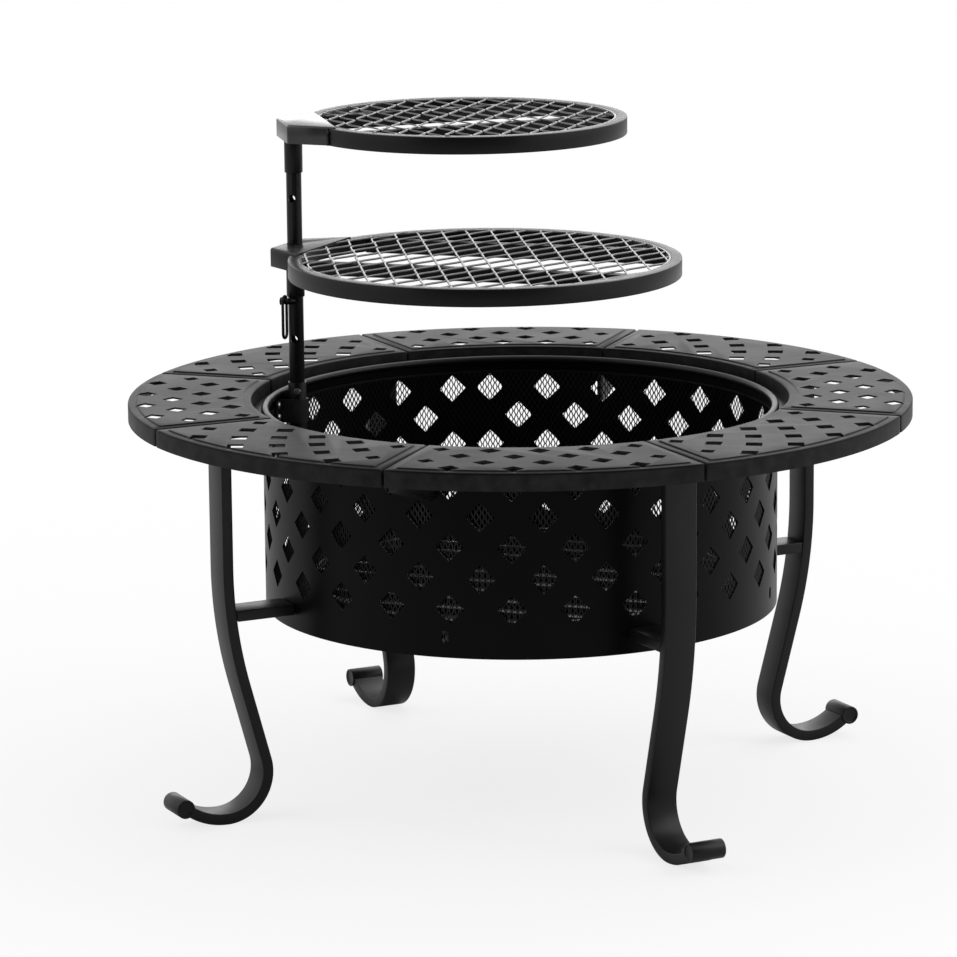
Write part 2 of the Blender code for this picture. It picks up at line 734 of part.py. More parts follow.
def make_socket():
    """The tube that holds the pole, its two saddles and rivets, and the set screw."""
    pole = Vector((-POLE_DISTANCE, 0.0, 0.0))
    profile = tube_profile(SOCKET_BOTTOM, SOCKET_TOP, TUBE_BORE, TUBE_RADIUS)
    socket = placed("pole_socket", lathe("pole_socket", profile, pole))
    hole = screw_shape(0.0, TUBE_RADIUS + OVERCUT, SCREW_HOLE, RIVET_SIDES)
    combined(socket, tool("screw_hole", hole), "DIFFERENCE")
    shank = screw_shape(POLE_RADIUS + GAP, SCREW_LENGTH, SCREW_RADIUS, RIVET_SIDES)
    screw = placed("socket_screw", finished(shank, "socket_screw", 40.0),
                   colour=ZINC, roughness=0.35, metallic=1.0)
    head = screw_shape(SCREW_HEAD_START, SCREW_HEAD_END, SCREW_HEAD, 6)
    combined(screw, tool("screw_head", head), "UNION")
    for name, (low, top) in SADDLE_HEIGHTS.items():
        saddle = placed(name, saddle_mesh(low, top))
        combined(saddle, bpy.data.objects["rivet_holes"], "DIFFERENCE")
    for number, (aside, height) in enumerate(rivet_places(), 1):
        placed(f"socket_rivet_{number}", rivet_mesh(aside, height),
               colour=ZINC, roughness=0.35, metallic=1.0)


def make_pole(parent):
    """The upright pole with its cross holes; its origin is on its own axis."""
    top = UPPER_PLATE_TOP - PLATE_SHEET - GAP
    profile = tube_profile(POLE_BOTTOM, top, POLE_BORE, POLE_RADIUS)
    pole = placed("pole", lathe("pole", profile), parent)
    shape = bmesh.new()
    ray = along(PIN_DIRECTION) * (POLE_RADIUS + OVERCUT)
    for height in (*POLE_FREE_HOLES, PIN_HEIGHT):
        centre = upright(height)
        add_rod(shape, centre - ray, centre + ray, POLE_HOLE, 12)
    combined(pole, tool("pole_holes", shape, parent), "DIFFERENCE")


def plate_outline(inset, front, height):
    """The fan-shaped outline of a grate's bracket, drawn in by an inset, from back to front."""
    flare = math.radians(PLATE_FLARE)
    back = -PLATE_BACK + inset
    side = inset / math.cos(flare)
    half_back = PLATE_HALF_WIDTH + math.tan(flare) * inset - side
    half_front = PLATE_HALF_WIDTH + math.tan(flare) * (front + PLATE_BACK) - side
    corner = PLATE_CORNER - inset
    right = [(front, half_front),
             (back + corner * math.cos(flare), half_back + corner * math.sin(flare)),
             (back + corner / 3.0, half_back - corner / 3.0),
             (back, half_back - corner)]
    left = [(x, -y) for x, y in right[::-1]]
    return [Vector((x, y, height)) for x, y in right + left]


def make_grate_bracket(name, parent, radius, plate_top, pole_passes):
    """An inverted tray that joins a grate's ring to the sleeve on the pole."""
    low = plate_top - PLATE_SHEET - RING_DEPTH
    body = prism(name, plate_outline(0.0, PLATE_FRONT, low), upright(plate_top - low), 40.0)
    bracket = placed(name, body, parent)
    ceiling = plate_top - PLATE_SHEET
    room = plate_outline(PLATE_SHEET, PLATE_FRONT + OVERCUT, low - OVERCUT)
    inside = bmesh.new()
    add_prism(inside, room, upright(ceiling - low + OVERCUT))
    combined(bracket, tool(name + "_inside", inside, parent), "DIFFERENCE")
    clearance = bmesh.new()
    centre = Vector((RING_TO_POLE + radius, 0.0, 0.0))
    foot = centre + upright(low - OVERCUT)
    add_rod(clearance, foot, centre + upright(ceiling), radius + 3.0 * GAP, RING_SIDES)
    combined(bracket, tool(name + "_ring_room", clearance, parent), "DIFFERENCE")
    if pole_passes:
        hole = bmesh.new()
        add_rod(hole, upright(low), upright(plate_top + OVERCUT), TUBE_BORE)
        combined(bracket, tool(name + "_pole_hole", hole, parent), "DIFFERENCE")


def ring_mesh(name, radius, top):
    """A grate's ring: an angle bar rolled into a hoop, its flange on top."""
    low = top - RING_DEPTH
    profile = [(radius - RING_SHEET, low), (radius, low), (radius, top), (radius - RING_BAND, top),
               (radius - RING_BAND, top - RING_SHEET), (radius - RING_SHEET, top - RING_SHEET)]
    return lathe(name, profile, Vector((RING_TO_POLE + radius, 0.0, 0.0)), RING_SIDES)


def clipped(outline, radius, sides):
    """Cuts a convex outline of (x, y) points by a circle drawn with straight sides."""
    reach = radius * math.cos(math.pi / sides)
    for step in range(sides):
        turn = 2.0 * math.pi * (step + 0.5) / sides
        normal = (math.cos(turn), math.sin(turn))
        kept = []
        for index, point in enumerate(outline):
            before = outline[index - 1]
            here = point[0] * normal[0] + point[1] * normal[1] - reach
            there = before[0] * normal[0] + before[1] * normal[1] - reach
            if here * there < 0.0:
                share = there / (there - here)
                kept.append((before[0] + share * (point[0] - before[0]),
                             before[1] + share * (point[1] - before[1])))
            if here <= 0.0:
                kept.append(point)
        outline = kept
        if len(outline) < 3:
            return []
    return outline


def area_of(outline):
    """Area of an outline of (x, y) points."""
    total = 0.0
    for index, point in enumerate(outline):
        before = outline[index - 1]
        total += before[0] * point[1] - point[0] * before[1]
    return abs(total) / 2.0


def mesh_gaps(radius, turn):
    """The openings of a flattened mesh: diamonds in staggered rows, cut off at the rim."""
    half_long = MESH_LONG_WAY / 2.0
    half_short = MESH_SHORT_WAY / 2.0
    lean = math.atan2(half_short, half_long)
    long_half = half_long - MESH_STRAND / (2.0 * math.sin(lean))
    short_half = half_short - MESH_STRAND / (2.0 * math.cos(lean))
    heading = math.radians(turn)
    gaps = []
    count = math.ceil(2.0 * radius / MESH_SHORT_WAY) + 1
    for row in range(-count, count + 1):
        for column in range(-count, count + 1):
            if (row + column) % 2:
                continue
            middle = (column * half_long, row * half_short)
            diamond = [(middle[0] + long_half, middle[1]), (middle[0], middle[1] + short_half),
                       (middle[0] - long_half, middle[1]), (middle[0], middle[1] - short_half)]
            turned = [(x * math.cos(heading) - y * math.sin(heading),
                       x * math.sin(heading) + y * math.cos(heading)) for x, y in diamond]
            gap = clipped(turned, radius - MESH_RIM, RING_SIDES)
            if len(gap) > 2 and area_of(gap) > MESH_SMALLEST_GAP:
                gaps.append(gap)
    return gaps


def make_mesh_disc(name, parent, radius, top, turn):
    """The flattened mesh that fills a grate's ring, level with the ring's flange and inside it."""
    centre = Vector((RING_TO_POLE + radius, 0.0, 0.0))
    edge = radius - RING_BAND - GAP
    disc = bmesh.new()
    add_rod(disc, centre + upright(top - MESH_SHEET), centre + upright(top), edge, RING_SIDES)
    mesh = placed(name, finished(disc, name), parent, colour=WIRE_COAT, roughness=0.35)
    cuts = bmesh.new()
    for gap in mesh_gaps(edge, turn):
        outline = [centre + Vector((x, y, top - 2.0 * MESH_SHEET)) for x, y in gap]
        add_prism(cuts, outline, upright(3.0 * MESH_SHEET))
    combined(mesh, tool(name + "_gaps", cuts, parent), "DIFFERENCE")


def bar_mesh(name, radius, top, offset, turn):
    """One angle bar under the mesh, a chord of the ring, turned about the ring's middle."""
    inside = radius - RING_SHEET - 4.0 * GAP
    high = top - max(RING_SHEET, MESH_SHEET) - GAP
    side = math.copysign(1.0, offset)
    web = offset * radius
    far = abs(web) + BAR_FLANGE
    reach = math.sqrt(inside ** 2 - far ** 2)
    profile = [(0.0, high), (BAR_FLANGE, high), (BAR_FLANGE, high - BAR_SHEET), (BAR_SHEET, high - BAR_SHEET),
               (BAR_SHEET, high - BAR_DEPTH), (0.0, high - BAR_DEPTH)]
    outline = [Vector((-reach, web + side * aside, height)) for aside, height in profile]
    mesh = prism(name, outline, Vector((2.0 * reach, 0.0, 0.0)))
    about = Matrix.Rotation(math.radians(turn), 4, "Z")
    mesh.transform(Matrix.Translation((RING_TO_POLE + radius, 0.0, 0.0)) @ about)
    return mesh


def make_grate(label, parent, sleeve_parent, radius, plate_top, sleeve_bottom, turns, pole_passes):
    """One cooking grate: ring, mesh, two bars, bracket, and the sleeve that turns on the pole."""
    mesh_turn, bar_turn = turns
    top = plate_top - PLATE_SHEET - GAP
    placed(f"{label}_ring", ring_mesh(f"{label}_ring", radius, top), parent)
    make_mesh_disc(f"{label}_mesh", parent, radius, top, mesh_turn)
    for number, offset in enumerate(BAR_OFFSETS, 1):
        name = f"{label}_bar_{number}"
        placed(name, bar_mesh(name, radius, top, offset, bar_turn), parent)
    make_grate_bracket(f"{label}_bracket", parent, radius, plate_top, pole_passes)
    profile = tube_profile(sleeve_bottom, top, TUBE_BORE, TUBE_RADIUS)
    placed(f"{label}_sleeve", lathe(f"{label}_sleeve", profile), sleeve_parent)


def pin_curve(name, points, radii, cyclic, bevel, sides):
    """A bent round rod along points, with its own radius at each."""
    curve = bpy.data.curves.new(name, "CURVE")
    curve.dimensions = "3D"
    curve.bevel_depth = bevel
    curve.bevel_resolution = sides
    curve.use_fill_caps = True
    spline = curve.splines.new("POLY")
    spline.points.add(len(points) - 1)
    for spot, point, radius in zip(spline.points, points, radii):
        spot.co = (*point, 1.0)
        spot.radius = radius
    spline.use_cyclic_u = cyclic
    return curve


def make_hitch_pin(parent):
    """The pin under the lower sleeve: straight through the pole, then bent aside to its end stop."""
    corner = Vector((PIN_ARM - PIN_BEND, -PIN_BEND, 0.0))
    points = [Vector((-PIN_REAR, 0.0, 0.0)), Vector(), Vector((PIN_ARM - PIN_BEND, 0.0, 0.0))]
    for step in range(1, 4):
        turn = math.radians(30.0 * step)
        points.append(corner + Vector((PIN_BEND * math.sin(turn), PIN_BEND * math.cos(turn), 0.0)))
    stop = PIN_ARM_LENGTH - PIN_STOP_LENGTH
    for reach in (stop - GAP, stop, PIN_ARM_LENGTH):
        points.append(Vector((PIN_ARM, -reach, 0.0)))
    radii = [1.0] * (len(points) - 2) + [PIN_STOP_SWELL, PIN_STOP_SWELL]
    placed("hitch_pin", pin_curve("hitch_pin", points, radii, False, PIN_RADIUS, 2), parent)


def make_pin_ring(parent):
    """The long wire ring that hangs on the pin's arm beside the pole."""
    half = PIN_RING_HALF_WIDTH
    lift = PIN_RADIUS + PIN_RING_WIRE + GAP
    points = []
    for start, height in ((0.0, lift - half), (180.0, half - PIN_RING_DROP)):
        for step in range(13):
            turn = math.radians(start + 15.0 * step)
            points.append(Vector((half * math.cos(turn), -PIN_RING_ASIDE, height + half * math.sin(turn))))
    placed("pin_ring", pin_curve("pin_ring", points, [1.0] * len(points), True, PIN_RING_WIRE, 1), parent)


def main():
    """Builds the whole fire pit."""
    clear_scene()
    make_table()
    make_table_brackets()
    make_legs()
    make_drum()
    make_fire_grate()
    make_socket()
    pole = axis_empty("pole_slide", Vector((-POLE_DISTANCE, 0.0, 0.0)), 0.0)
    make_pole(pole)
    upper = axis_empty("upper_swing", Vector(), UPPER_SWING, pole)
    make_grate("upper", upper, upper, UPPER_RADIUS, UPPER_PLATE_TOP, UPPER_SLEEVE_BOTTOM,
               (UPPER_MESH_TURN, UPPER_BAR_TURN), False)
    lower = axis_empty("lower_lift", Vector(), 0.0, pole)
    lower_swing = axis_empty("lower_swing", Vector(), LOWER_SWING, lower)
    make_grate("lower", lower_swing, lower, LOWER_RADIUS, LOWER_PLATE_TOP, LOWER_SLEEVE_BOTTOM,
               (LOWER_MESH_TURN, LOWER_BAR_TURN), True)
    pin = axis_empty("pin_slide", upright(PIN_HEIGHT), PIN_DIRECTION, pole)
    make_hitch_pin(pin)
    make_pin_ring(axis_empty("ring_hang", Vector((PIN_ARM, 0.0, 0.0)), 0.0, pin))


main()
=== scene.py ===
"""Dressed model of a fire pit: a perforated drum on four legs inside a ring table, with two
swing-out grates on a pole.

Frame: metres, +Z up, the origin on the drum's axis at floor height. The pole stands at 180
degrees from +X, the legs at 46, 136, 226 and 316 degrees. Angles are in degrees.
"""

import logging
import math
from dataclasses import dataclass
from enum import Enum
from typing import Callable, Iterable, Optional, Sequence

import bmesh
import bpy
from bmesh.types import BMEdge, BMesh, BMFace, BMVert
from bpy.types import Material, Node, NodeSocket, NodeTree, Object
from mathutils import Matrix, Vector


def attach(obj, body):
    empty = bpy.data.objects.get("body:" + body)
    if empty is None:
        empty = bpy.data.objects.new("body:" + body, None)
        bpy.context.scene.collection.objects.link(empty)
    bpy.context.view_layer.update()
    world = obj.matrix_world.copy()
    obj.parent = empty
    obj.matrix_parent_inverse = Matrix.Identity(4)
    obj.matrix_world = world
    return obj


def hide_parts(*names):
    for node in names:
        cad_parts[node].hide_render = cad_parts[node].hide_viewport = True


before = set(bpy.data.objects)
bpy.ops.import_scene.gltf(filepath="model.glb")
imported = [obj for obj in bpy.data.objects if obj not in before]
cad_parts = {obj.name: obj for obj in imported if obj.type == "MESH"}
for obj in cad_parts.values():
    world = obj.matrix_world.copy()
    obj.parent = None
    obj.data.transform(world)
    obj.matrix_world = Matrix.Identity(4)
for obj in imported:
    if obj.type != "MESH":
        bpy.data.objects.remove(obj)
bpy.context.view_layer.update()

LOG = logging.getLogger("fire_pit")
FULL_TURN = 2.0 * math.pi
ORIGIN = Vector()
UP = Vector((0.0, 0.0, 1.0))
ACROSS = Vector((0.0, 1.0, 0.0))
POLE_DISTANCE = 0.280
POLE_AXIS = Vector((-POLE_DISTANCE, 0.0, 0.0))
DRUM_RADIUS = 0.3008
WELD_GAP = 0.0003
WHITE = (1.0, 1.0, 1.0, 1.0)
# How far a drill or punch reaches through a wall
PUNCH = 0.02
# Distances below which points are one, on clean shapes and on folded or bent ones
HAIR = 1e-6
THREAD = 1e-5


class Body(str, Enum):
    """The moving bodies that pieces ride on."""

    STAND = "stand"
    FIRE_GRATE = "fire_grate"
    POLE = "pole"
    UPPER_GRATE = "upper_grate"
    LOWER_SLEEVE = "lower_sleeve"
    LOWER_GRATE = "lower_grate"
    HITCH_PIN = "hitch_pin"
    PIN_RING = "pin_ring"


class Slot(str, Enum):
    """The record's material slots."""

    BLACK = "black_coat"
    TABLE = "table_coat"
    WIRE = "wire_coat"
    ZINC = "zinc"


def ray(angle: float) -> Vector:
    """A horizontal unit vector at an angle from +X."""
    turn = math.radians(angle)
    return Vector((math.cos(turn), math.sin(turn), 0.0))


def turned(angle: float) -> Matrix:
    """A turn about the upright axis."""
    return Matrix.Rotation(math.radians(angle), 4, "Z")


def only(kind: type, geometry: Iterable) -> list:
    """The elements of one kind among those that an operator gives back."""
    return [item for item in geometry if isinstance(item, kind)]


# Shader nodes

# Numbers of a Mix node's sockets when it mixes colours
FACTOR, UNDER, OVER, MIXED = 0, 6, 7, 2


def feed(tree: NodeTree, node: Node, inputs: dict) -> None:
    """Links or sets a node's inputs.

    Args:
        tree: the tree that the node is in.
        node: the node.
        inputs: an output socket or a plain value for each input, by its name or number.
    """
    for label, source in inputs.items():
        if isinstance(source, NodeSocket):
            tree.links.new(source, node.inputs[label])
        else:
            node.inputs[label].default_value = source


def add_node(tree: NodeTree, kind: str, inputs: Optional[dict] = None, **settings: object) -> Node:
    """Adds a shader node to a tree.

    Args:
        tree: the tree.
        kind: the node's type without its first part, ShaderNode.
        inputs: what its inputs are fed with, as in feed.
        settings: its own settings, such as its operation.

    Returns:
        The node.
    """
    node = tree.nodes.new("ShaderNode" + kind)
    for label, value in settings.items():
        setattr(node, label, value)
    feed(tree, node, inputs or {})
    return node


def maths(tree: NodeTree, operation: str, *terms: object, clamp: bool = False) -> NodeSocket:
    """The result of a Math node on output sockets or plain numbers."""
    return add_node(tree, "Math", dict(enumerate(terms)), operation=operation, use_clamp=clamp).outputs[0]


def noise(tree: NodeTree, place: NodeSocket, scale: NodeSocket, detail: float) -> NodeSocket:
    """The grey value of a noise pattern."""
    return add_node(tree, "TexNoise", {"Vector": place, "Scale": scale, "Detail": detail}).outputs["Fac"]


def new_group(name: str, numbers: dict, results: Sequence[str]) -> tuple:
    """Starts a node group that reads coordinates and numbers.

    Args:
        name: the group's name.
        numbers: the default value of each number that it reads, by name.
        results: names of the numbers that it puts out.

    Returns:
        The group, the sockets that bring what it reads, and its output node.
    """
    tree = bpy.data.node_groups.new(name, "ShaderNodeTree")
    tree.interface.new_socket(name="Coordinates", in_out="INPUT", socket_type="NodeSocketVector")
    for label, value in numbers.items():
        socket = tree.interface.new_socket(name=label, in_out="INPUT", socket_type="NodeSocketFloat")
        socket.default_value = value
    for label in results:
        tree.interface.new_socket(name=label, in_out="OUTPUT", socket_type="NodeSocketFloat")
    start, end = tree.nodes.new("NodeGroupInput"), tree.nodes.new("NodeGroupOutput")
    return tree, start.outputs, end


def coat_grain_group() -> NodeTree:
    """Fine grain of a baked powder coat over a slow waviness, as a height and a roughness.

    Returns:
        The group.
    """
    numbers = {"Grain Size": 900.0, "Wave Size": 18.0, "Wave Share": 0.5, "Roughness": 0.45,
               "Roughness Spread": 0.08}
    tree, start, end = new_group("coat_grain", numbers, ["Height", "Roughness"])
    grain = noise(tree, start["Coordinates"], start["Grain Size"], 2.0)
    wave = noise(tree, start["Coordinates"], start["Wave Size"], 3.0)
    blend = add_node(tree, "Mix", {"Factor": start["Wave Share"], "A": grain, "B": wave})
    centred = maths(tree, "SUBTRACT", wave, 0.5)
    rough = maths(tree, "MULTIPLY_ADD", centred, start["Roughness Spread"], start["Roughness"])
    feed(tree, end, {"Height": blend.outputs["Result"], "Roughness": rough})
    return tree


def settled_dust_group() -> NodeTree:
    """A thin veil of dust on faces that look up, as a mask.

    Returns:
        The group.
    """
    tree, start, end = new_group("settled_dust", {"Patch Size": 9.0, "Amount": 0.1}, ["Mask"])
    geometry = add_node(tree, "NewGeometry")
    parts = add_node(tree, "SeparateXYZ", {0: geometry.outputs["Normal"]})
    facing = add_node(tree, "MapRange", {"Value": parts.outputs["Z"], "From Min": 0.6})
    patches = noise(tree, start["Coordinates"], start["Patch Size"], 5.0)
    sharper = add_node(tree, "MapRange", {"Value": patches, "From Min": 0.35, "From Max": 0.75})
    both = maths(tree, "MULTIPLY", facing.outputs["Result"], sharper.outputs["Result"])
    feed(tree, end, {"Mask": maths(tree, "MULTIPLY", both, start["Amount"])})
    return tree


def painted_edge_highlight_group() -> NodeTree:
    """Sharp edges where a highlight is painted in a lighter colour, as a mask.

    Returns:
        The group.
    """
    tree, start, end = new_group("painted_edge_highlight", {"Break Size": 60.0, "Amount": 0.5}, ["Mask"])
    # Painted highlight: sharp edges found by their pointiness, broken up by noise
    geometry = add_node(tree, "NewGeometry")
    edge = add_node(tree, "MapRange",
                    {"Value": geometry.outputs["Pointiness"], "From Min": 0.54, "From Max": 0.64})
    breaks = noise(tree, start["Coordinates"], start["Break Size"], 4.0)
    both = maths(tree, "MULTIPLY", edge.outputs["Result"], breaks)
    feed(tree, end, {"Mask": maths(tree, "MULTIPLY", both, start["Amount"], clamp=True)})
    return tree


def place_group(tree: NodeTree, name: str, make: Callable, inputs: dict) -> Node:
    """Puts a node group in a material, and makes the group where it isn't there yet."""
    return add_node(tree, "Group", inputs, node_tree=bpy.data.node_groups.get(name) or make())


@dataclass(frozen=True)
class Finish:
    """A coat or bare metal, with its grain, its dust and a painted highlight along its sharp edges."""

    name: str
    slot: Slot
    colour: tuple
    # Colour of the painted highlight along sharp edges
    edge_highlight_colour: tuple
    roughness: float
    roughness_spread: float
    metallic: float = 0.0
    specular: float = 0.5
    grain_size: float = 900.0
    wave_share: float = 0.3
    bump: float = 0.12
    bump_depth: float = 0.0002
    dust: float = 0.06
    dust_colour: tuple = (0.10, 0.098, 0.095, 1.0)
    # Strength of that painted edge highlight
    edge_highlight: float = 0.5

    def material(self) -> Material:
        """Makes the finish's material, or gives the one that was made before.

        Returns:
            The material.
        """
        if self.name in bpy.data.materials:
            return bpy.data.materials[self.name]
        coat = bpy.data.materials.new(self.name)
        coat.use_nodes = True
        coat.diffuse_color = self.colour
        tree = coat.node_tree
        place = add_node(tree, "TexCoord").outputs["Object"]
        grain = place_group(tree, "coat_grain", coat_grain_group, {
            "Coordinates": place, "Grain Size": self.grain_size, "Wave Share": self.wave_share,
            "Roughness": self.roughness, "Roughness Spread": self.roughness_spread})
        relief = add_node(tree, "Bump", {"Strength": self.bump, "Distance": self.bump_depth,
                                         "Height": grain.outputs["Height"]})
        dust = place_group(tree, "settled_dust", settled_dust_group,
                           {"Coordinates": place, "Amount": self.dust})
        # Painted highlight: sharp edges are mixed towards the lighter edge colour
        edge_highlight = place_group(tree, "painted_edge_highlight", painted_edge_highlight_group, {"Coordinates": place, "Amount": self.edge_highlight})
        edge_lit = self.tint(tree, self.colour, self.edge_highlight_colour, edge_highlight)
        dusty = self.tint(tree, edge_lit, self.dust_colour, dust)
        feed(tree, tree.nodes["Principled BSDF"], {
            "Base Color": dusty, "Metallic": self.metallic, "Specular IOR Level": self.specular,
            "Roughness": grain.outputs["Roughness"], "Normal": relief.outputs["Normal"]})
        return coat

    @staticmethod
    def tint(tree: NodeTree, under: object, over: tuple, mask: Node) -> NodeSocket:
        """Mixes a colour over another colour or socket by a group's mask."""
        inputs = {FACTOR: mask.outputs["Mask"], UNDER: under, OVER: over}
        return add_node(tree, "Mix", inputs, data_type="RGBA").outputs[MIXED]


# Each finish's second colour is its painted highlight on sharp edges
BLACK_COAT = Finish("black_powder_coat", Slot.BLACK, (0.0042, 0.0042, 0.0044, 1.0),
                    (0.060, 0.060, 0.061, 1.0), 0.36, 0.10, specular=0.22)
# Painted shade: a darker, less glossy copy of the black coat, for the drum's shell and lap seam
DRUM_SHADED_COAT = Finish("drum_shaded_coat", Slot.BLACK, (0.0016, 0.0016, 0.0017, 1.0),
                   (0.030, 0.030, 0.031, 1.0), 0.36, 0.10, specular=0.07, dust=0.02, edge_highlight=0.0)
TABLE_COAT = Finish("table_powder_coat", Slot.TABLE, (0.0012, 0.0012, 0.0013, 1.0),
                    (0.090, 0.090, 0.091, 1.0), 0.42, 0.12, specular=0.06, grain_size=700.0, bump=0.2,
                    dust=0.04, edge_highlight=0.3)
# Painted highlight: a lighter, glossier copy of the black coat, for the upper grate's bracket only
UPPER_BRACKET_LIT_COAT = Finish("upper_bracket_lit_coat", Slot.BLACK, (0.011, 0.011, 0.0113, 1.0),
                      (0.090, 0.090, 0.091, 1.0), 0.22, 0.08, specular=0.5, dust=0.02)
# Painted shade: a much darker copy of the wire coat, for the liner and its selvedges inside the drum
LINER_SHADED_COAT = Finish("liner_shaded_coat", Slot.WIRE, (0.0050, 0.0050, 0.0052, 1.0),
                    (0.040, 0.040, 0.041, 1.0), 0.40, 0.08, specular=0.2, bump=0.08, dust=0.0, edge_highlight=0.0)
WIRE_COAT = Finish("wire_powder_coat", Slot.WIRE, (0.110, 0.110, 0.112, 1.0),
                   (0.260, 0.260, 0.260, 1.0), 0.30, 0.08, specular=0.6, bump=0.08, dust=0.0)
ZINC_PLATE = Finish("zinc_plate", Slot.ZINC, (0.42, 0.42, 0.43, 1.0), (0.62, 0.62, 0.63, 1.0),
                    0.30, 0.12, metallic=1.0, grain_size=1500.0, bump=0.06, dust=0.0)


# Shapes


def round_corners(shape: BMesh, corners: Sequence[BMVert], radius: float, rounds: int) -> None:
    """Rounds the corners of a flat face."""
    bmesh.ops.bevel(shape, geom=corners, offset=radius, segments=rounds, affect="VERTICES",
                    profile=0.5, material=-1)


def round_edges(shape: BMesh, edges: Sequence[BMEdge], width: float, rounds: int,
                clamp: bool = False) -> None:
    """Rounds edges between faces, and keeps the rounds apart where clamp is set."""
    bmesh.ops.bevel(shape, geom=edges, offset=width, segments=rounds, affect="EDGES",
                    profile=0.5, material=-1, clamp_overlap=clamp)


def sharp_edges(shape: BMesh, angle: float) -> list:
    """The edges whose two faces turn by more than an angle."""
    limit = math.radians(angle)
    return [edge for edge in shape.edges if edge.is_manifold and edge.calc_face_angle(0.0) > limit]


def soften_edges(shape: BMesh, width: float, rounds: int = 2) -> None:
    """Rounds a shape's sharp edges."""
    round_edges(shape, sharp_edges(shape, 40.0), width, rounds, clamp=True)


def face_outwards(shape: BMesh) -> None:
    """Turns a closed shape's faces outwards."""
    bmesh.ops.recalc_face_normals(shape, faces=shape.faces[:])


def full_turn(shape: BMesh, steps: int) -> BMesh:
    """Turns the lines of a shape once about the upright axis.

    Args:
        shape: what holds the lines.
        steps: how many flats the full turn has.

    Returns:
        The same shape, closed.
    """
    bmesh.ops.spin(shape, geom=shape.verts[:] + shape.edges[:], cent=ORIGIN, axis=UP, dvec=ORIGIN,
                   angle=FULL_TURN, steps=steps, use_merge=True)
    bmesh.ops.remove_doubles(shape, verts=shape.verts[:], dist=HAIR)
    face_outwards(shape)
    return shape


def lathe(profile: Sequence[tuple], steps: int, soften: float, rounds: int) -> BMesh:
    """Turns a closed profile about the upright axis.

    Args:
        profile: corners as (radius, height).
        steps: how many flats the full turn has.
        soften: radius of the profile's corners.
        rounds: segments of each softened corner.

    Returns:
        The closed shape.
    """
    shape = bmesh.new()
    corners = [shape.verts.new((radius, 0.0, height)) for radius, height in profile]
    shape.faces.new(corners)
    round_corners(shape, corners, soften, rounds)
    bmesh.ops.delete(shape, geom=shape.faces[:], context="FACES_ONLY")
    return full_turn(shape, steps)


def hoop(inner: float, outer: float, low: float, high: float, steps: int, soften: float,
         rounds: int) -> BMesh:
    """A ring or tube with a four-sided section about the upright axis, made as lathe does."""
    return lathe([(inner, low), (outer, low), (outer, high), (inner, high)], steps, soften, rounds)


def dish(profile: Sequence[tuple], steps: int) -> BMesh:
    """Turns an open profile that starts and ends on the upright axis.

    Args:
        profile: corners as (radius, height).
        steps: how many flats the full turn has.

    Returns:
        The closed shape.
    """
    shape = bmesh.new()
    line = [shape.verts.new((radius, 0.0, height)) for radius, height in profile]
    for pair in zip(line, line[1:]):
        shape.edges.new(pair)
    return full_turn(shape, steps)


def plate(outline: Sequence[Vector], sweep: Vector, soften: float = 0.0, rounds: int = 2) -> BMesh:
    """Extrudes an outline into a closed plate with softened edges.

    Args:
        outline: corners of one face.
        sweep: how far and which way it is extruded.
        soften: width of the bevel along its sharp edges.
        rounds: segments of that bevel.

    Returns:
        The closed shape.
    """
    shape = bmesh.new()
    base = shape.faces.new([shape.verts.new(point) for point in outline])
    made = bmesh.ops.extrude_face_region(shape, geom=[base])
    bmesh.ops.translate(shape, verts=only(BMVert, made["geom"]), vec=sweep)
    face_outwards(shape)
    if soften > 0.0:
        soften_edges(shape, soften, rounds)
    return shape


def slab(near: tuple, far: tuple, height: float, rise: float, soften: float) -> BMesh:
    """A box with softened edges.

    Args:
        near: x and y of one corner.
        far: x and y of the corner across from it.
        height: height of its first face.
        rise: how far its other face is above that one.
        soften: width of the bevel along its edges.

    Returns:
        The closed shape.
    """
    outline = [Vector((x, y, height)) for x, y in (near, (far[0], near[1]), far, (near[0], far[1]))]
    return plate(outline, UP * rise, soften)


def rod(start: Vector, end: Vector, radius: float, sides: int = 32, soften: float = 0.0,
        end_radius: Optional[float] = None) -> BMesh:
    """A closed round bar or cone between two points.

    Args:
        start: centre of its first end.
        end: centre of its other end.
        radius: radius at the first end.
        sides: flats round it.
        soften: bevel of its end edges.
        end_radius: radius at the other end, if it differs.

    Returns:
        The closed shape.
    """
    shape = bmesh.new()
    run = end - start
    aim = UP.rotation_difference(run.normalized()).to_matrix().to_4x4()
    bmesh.ops.create_cone(shape, cap_ends=True, segments=sides, radius1=radius,
                          radius2=radius if end_radius is None else end_radius, depth=run.length,
                          matrix=Matrix.Translation((start + end) / 2.0) @ aim)
    if soften > 0.0:
        soften_edges(shape, soften)
    return shape


def diamond(centre: Vector, half: float, aside: Vector, through: Vector, corner: float = 0.0010) -> BMesh:
    """A punch with a diamond section.

    Args:
        centre: middle of the punch.
        half: half of its diagonal.
        aside: direction of one of its diagonals.
        through: the way the punch points, square to aside.
        corner: radius of its corners.

    Returns:
        The closed shape.
    """
    shape = bmesh.new()
    bmesh.ops.create_circle(shape, cap_ends=True, segments=4, radius=half)
    round_corners(shape, shape.verts[:], corner, 2)
    made = bmesh.ops.extrude_face_region(shape, geom=shape.faces[:])
    bmesh.ops.translate(shape, verts=only(BMVert, made["geom"]), vec=UP * PUNCH)
    bmesh.ops.translate(shape, verts=shape.verts[:], vec=UP * (-PUNCH / 2.0))
    axes = Matrix((aside, through.cross(aside), through)).transposed().to_4x4()
    bmesh.ops.transform(shape, matrix=Matrix.Translation(centre) @ axes, verts=shape.verts[:])
    face_outwards(shape)
    return shape


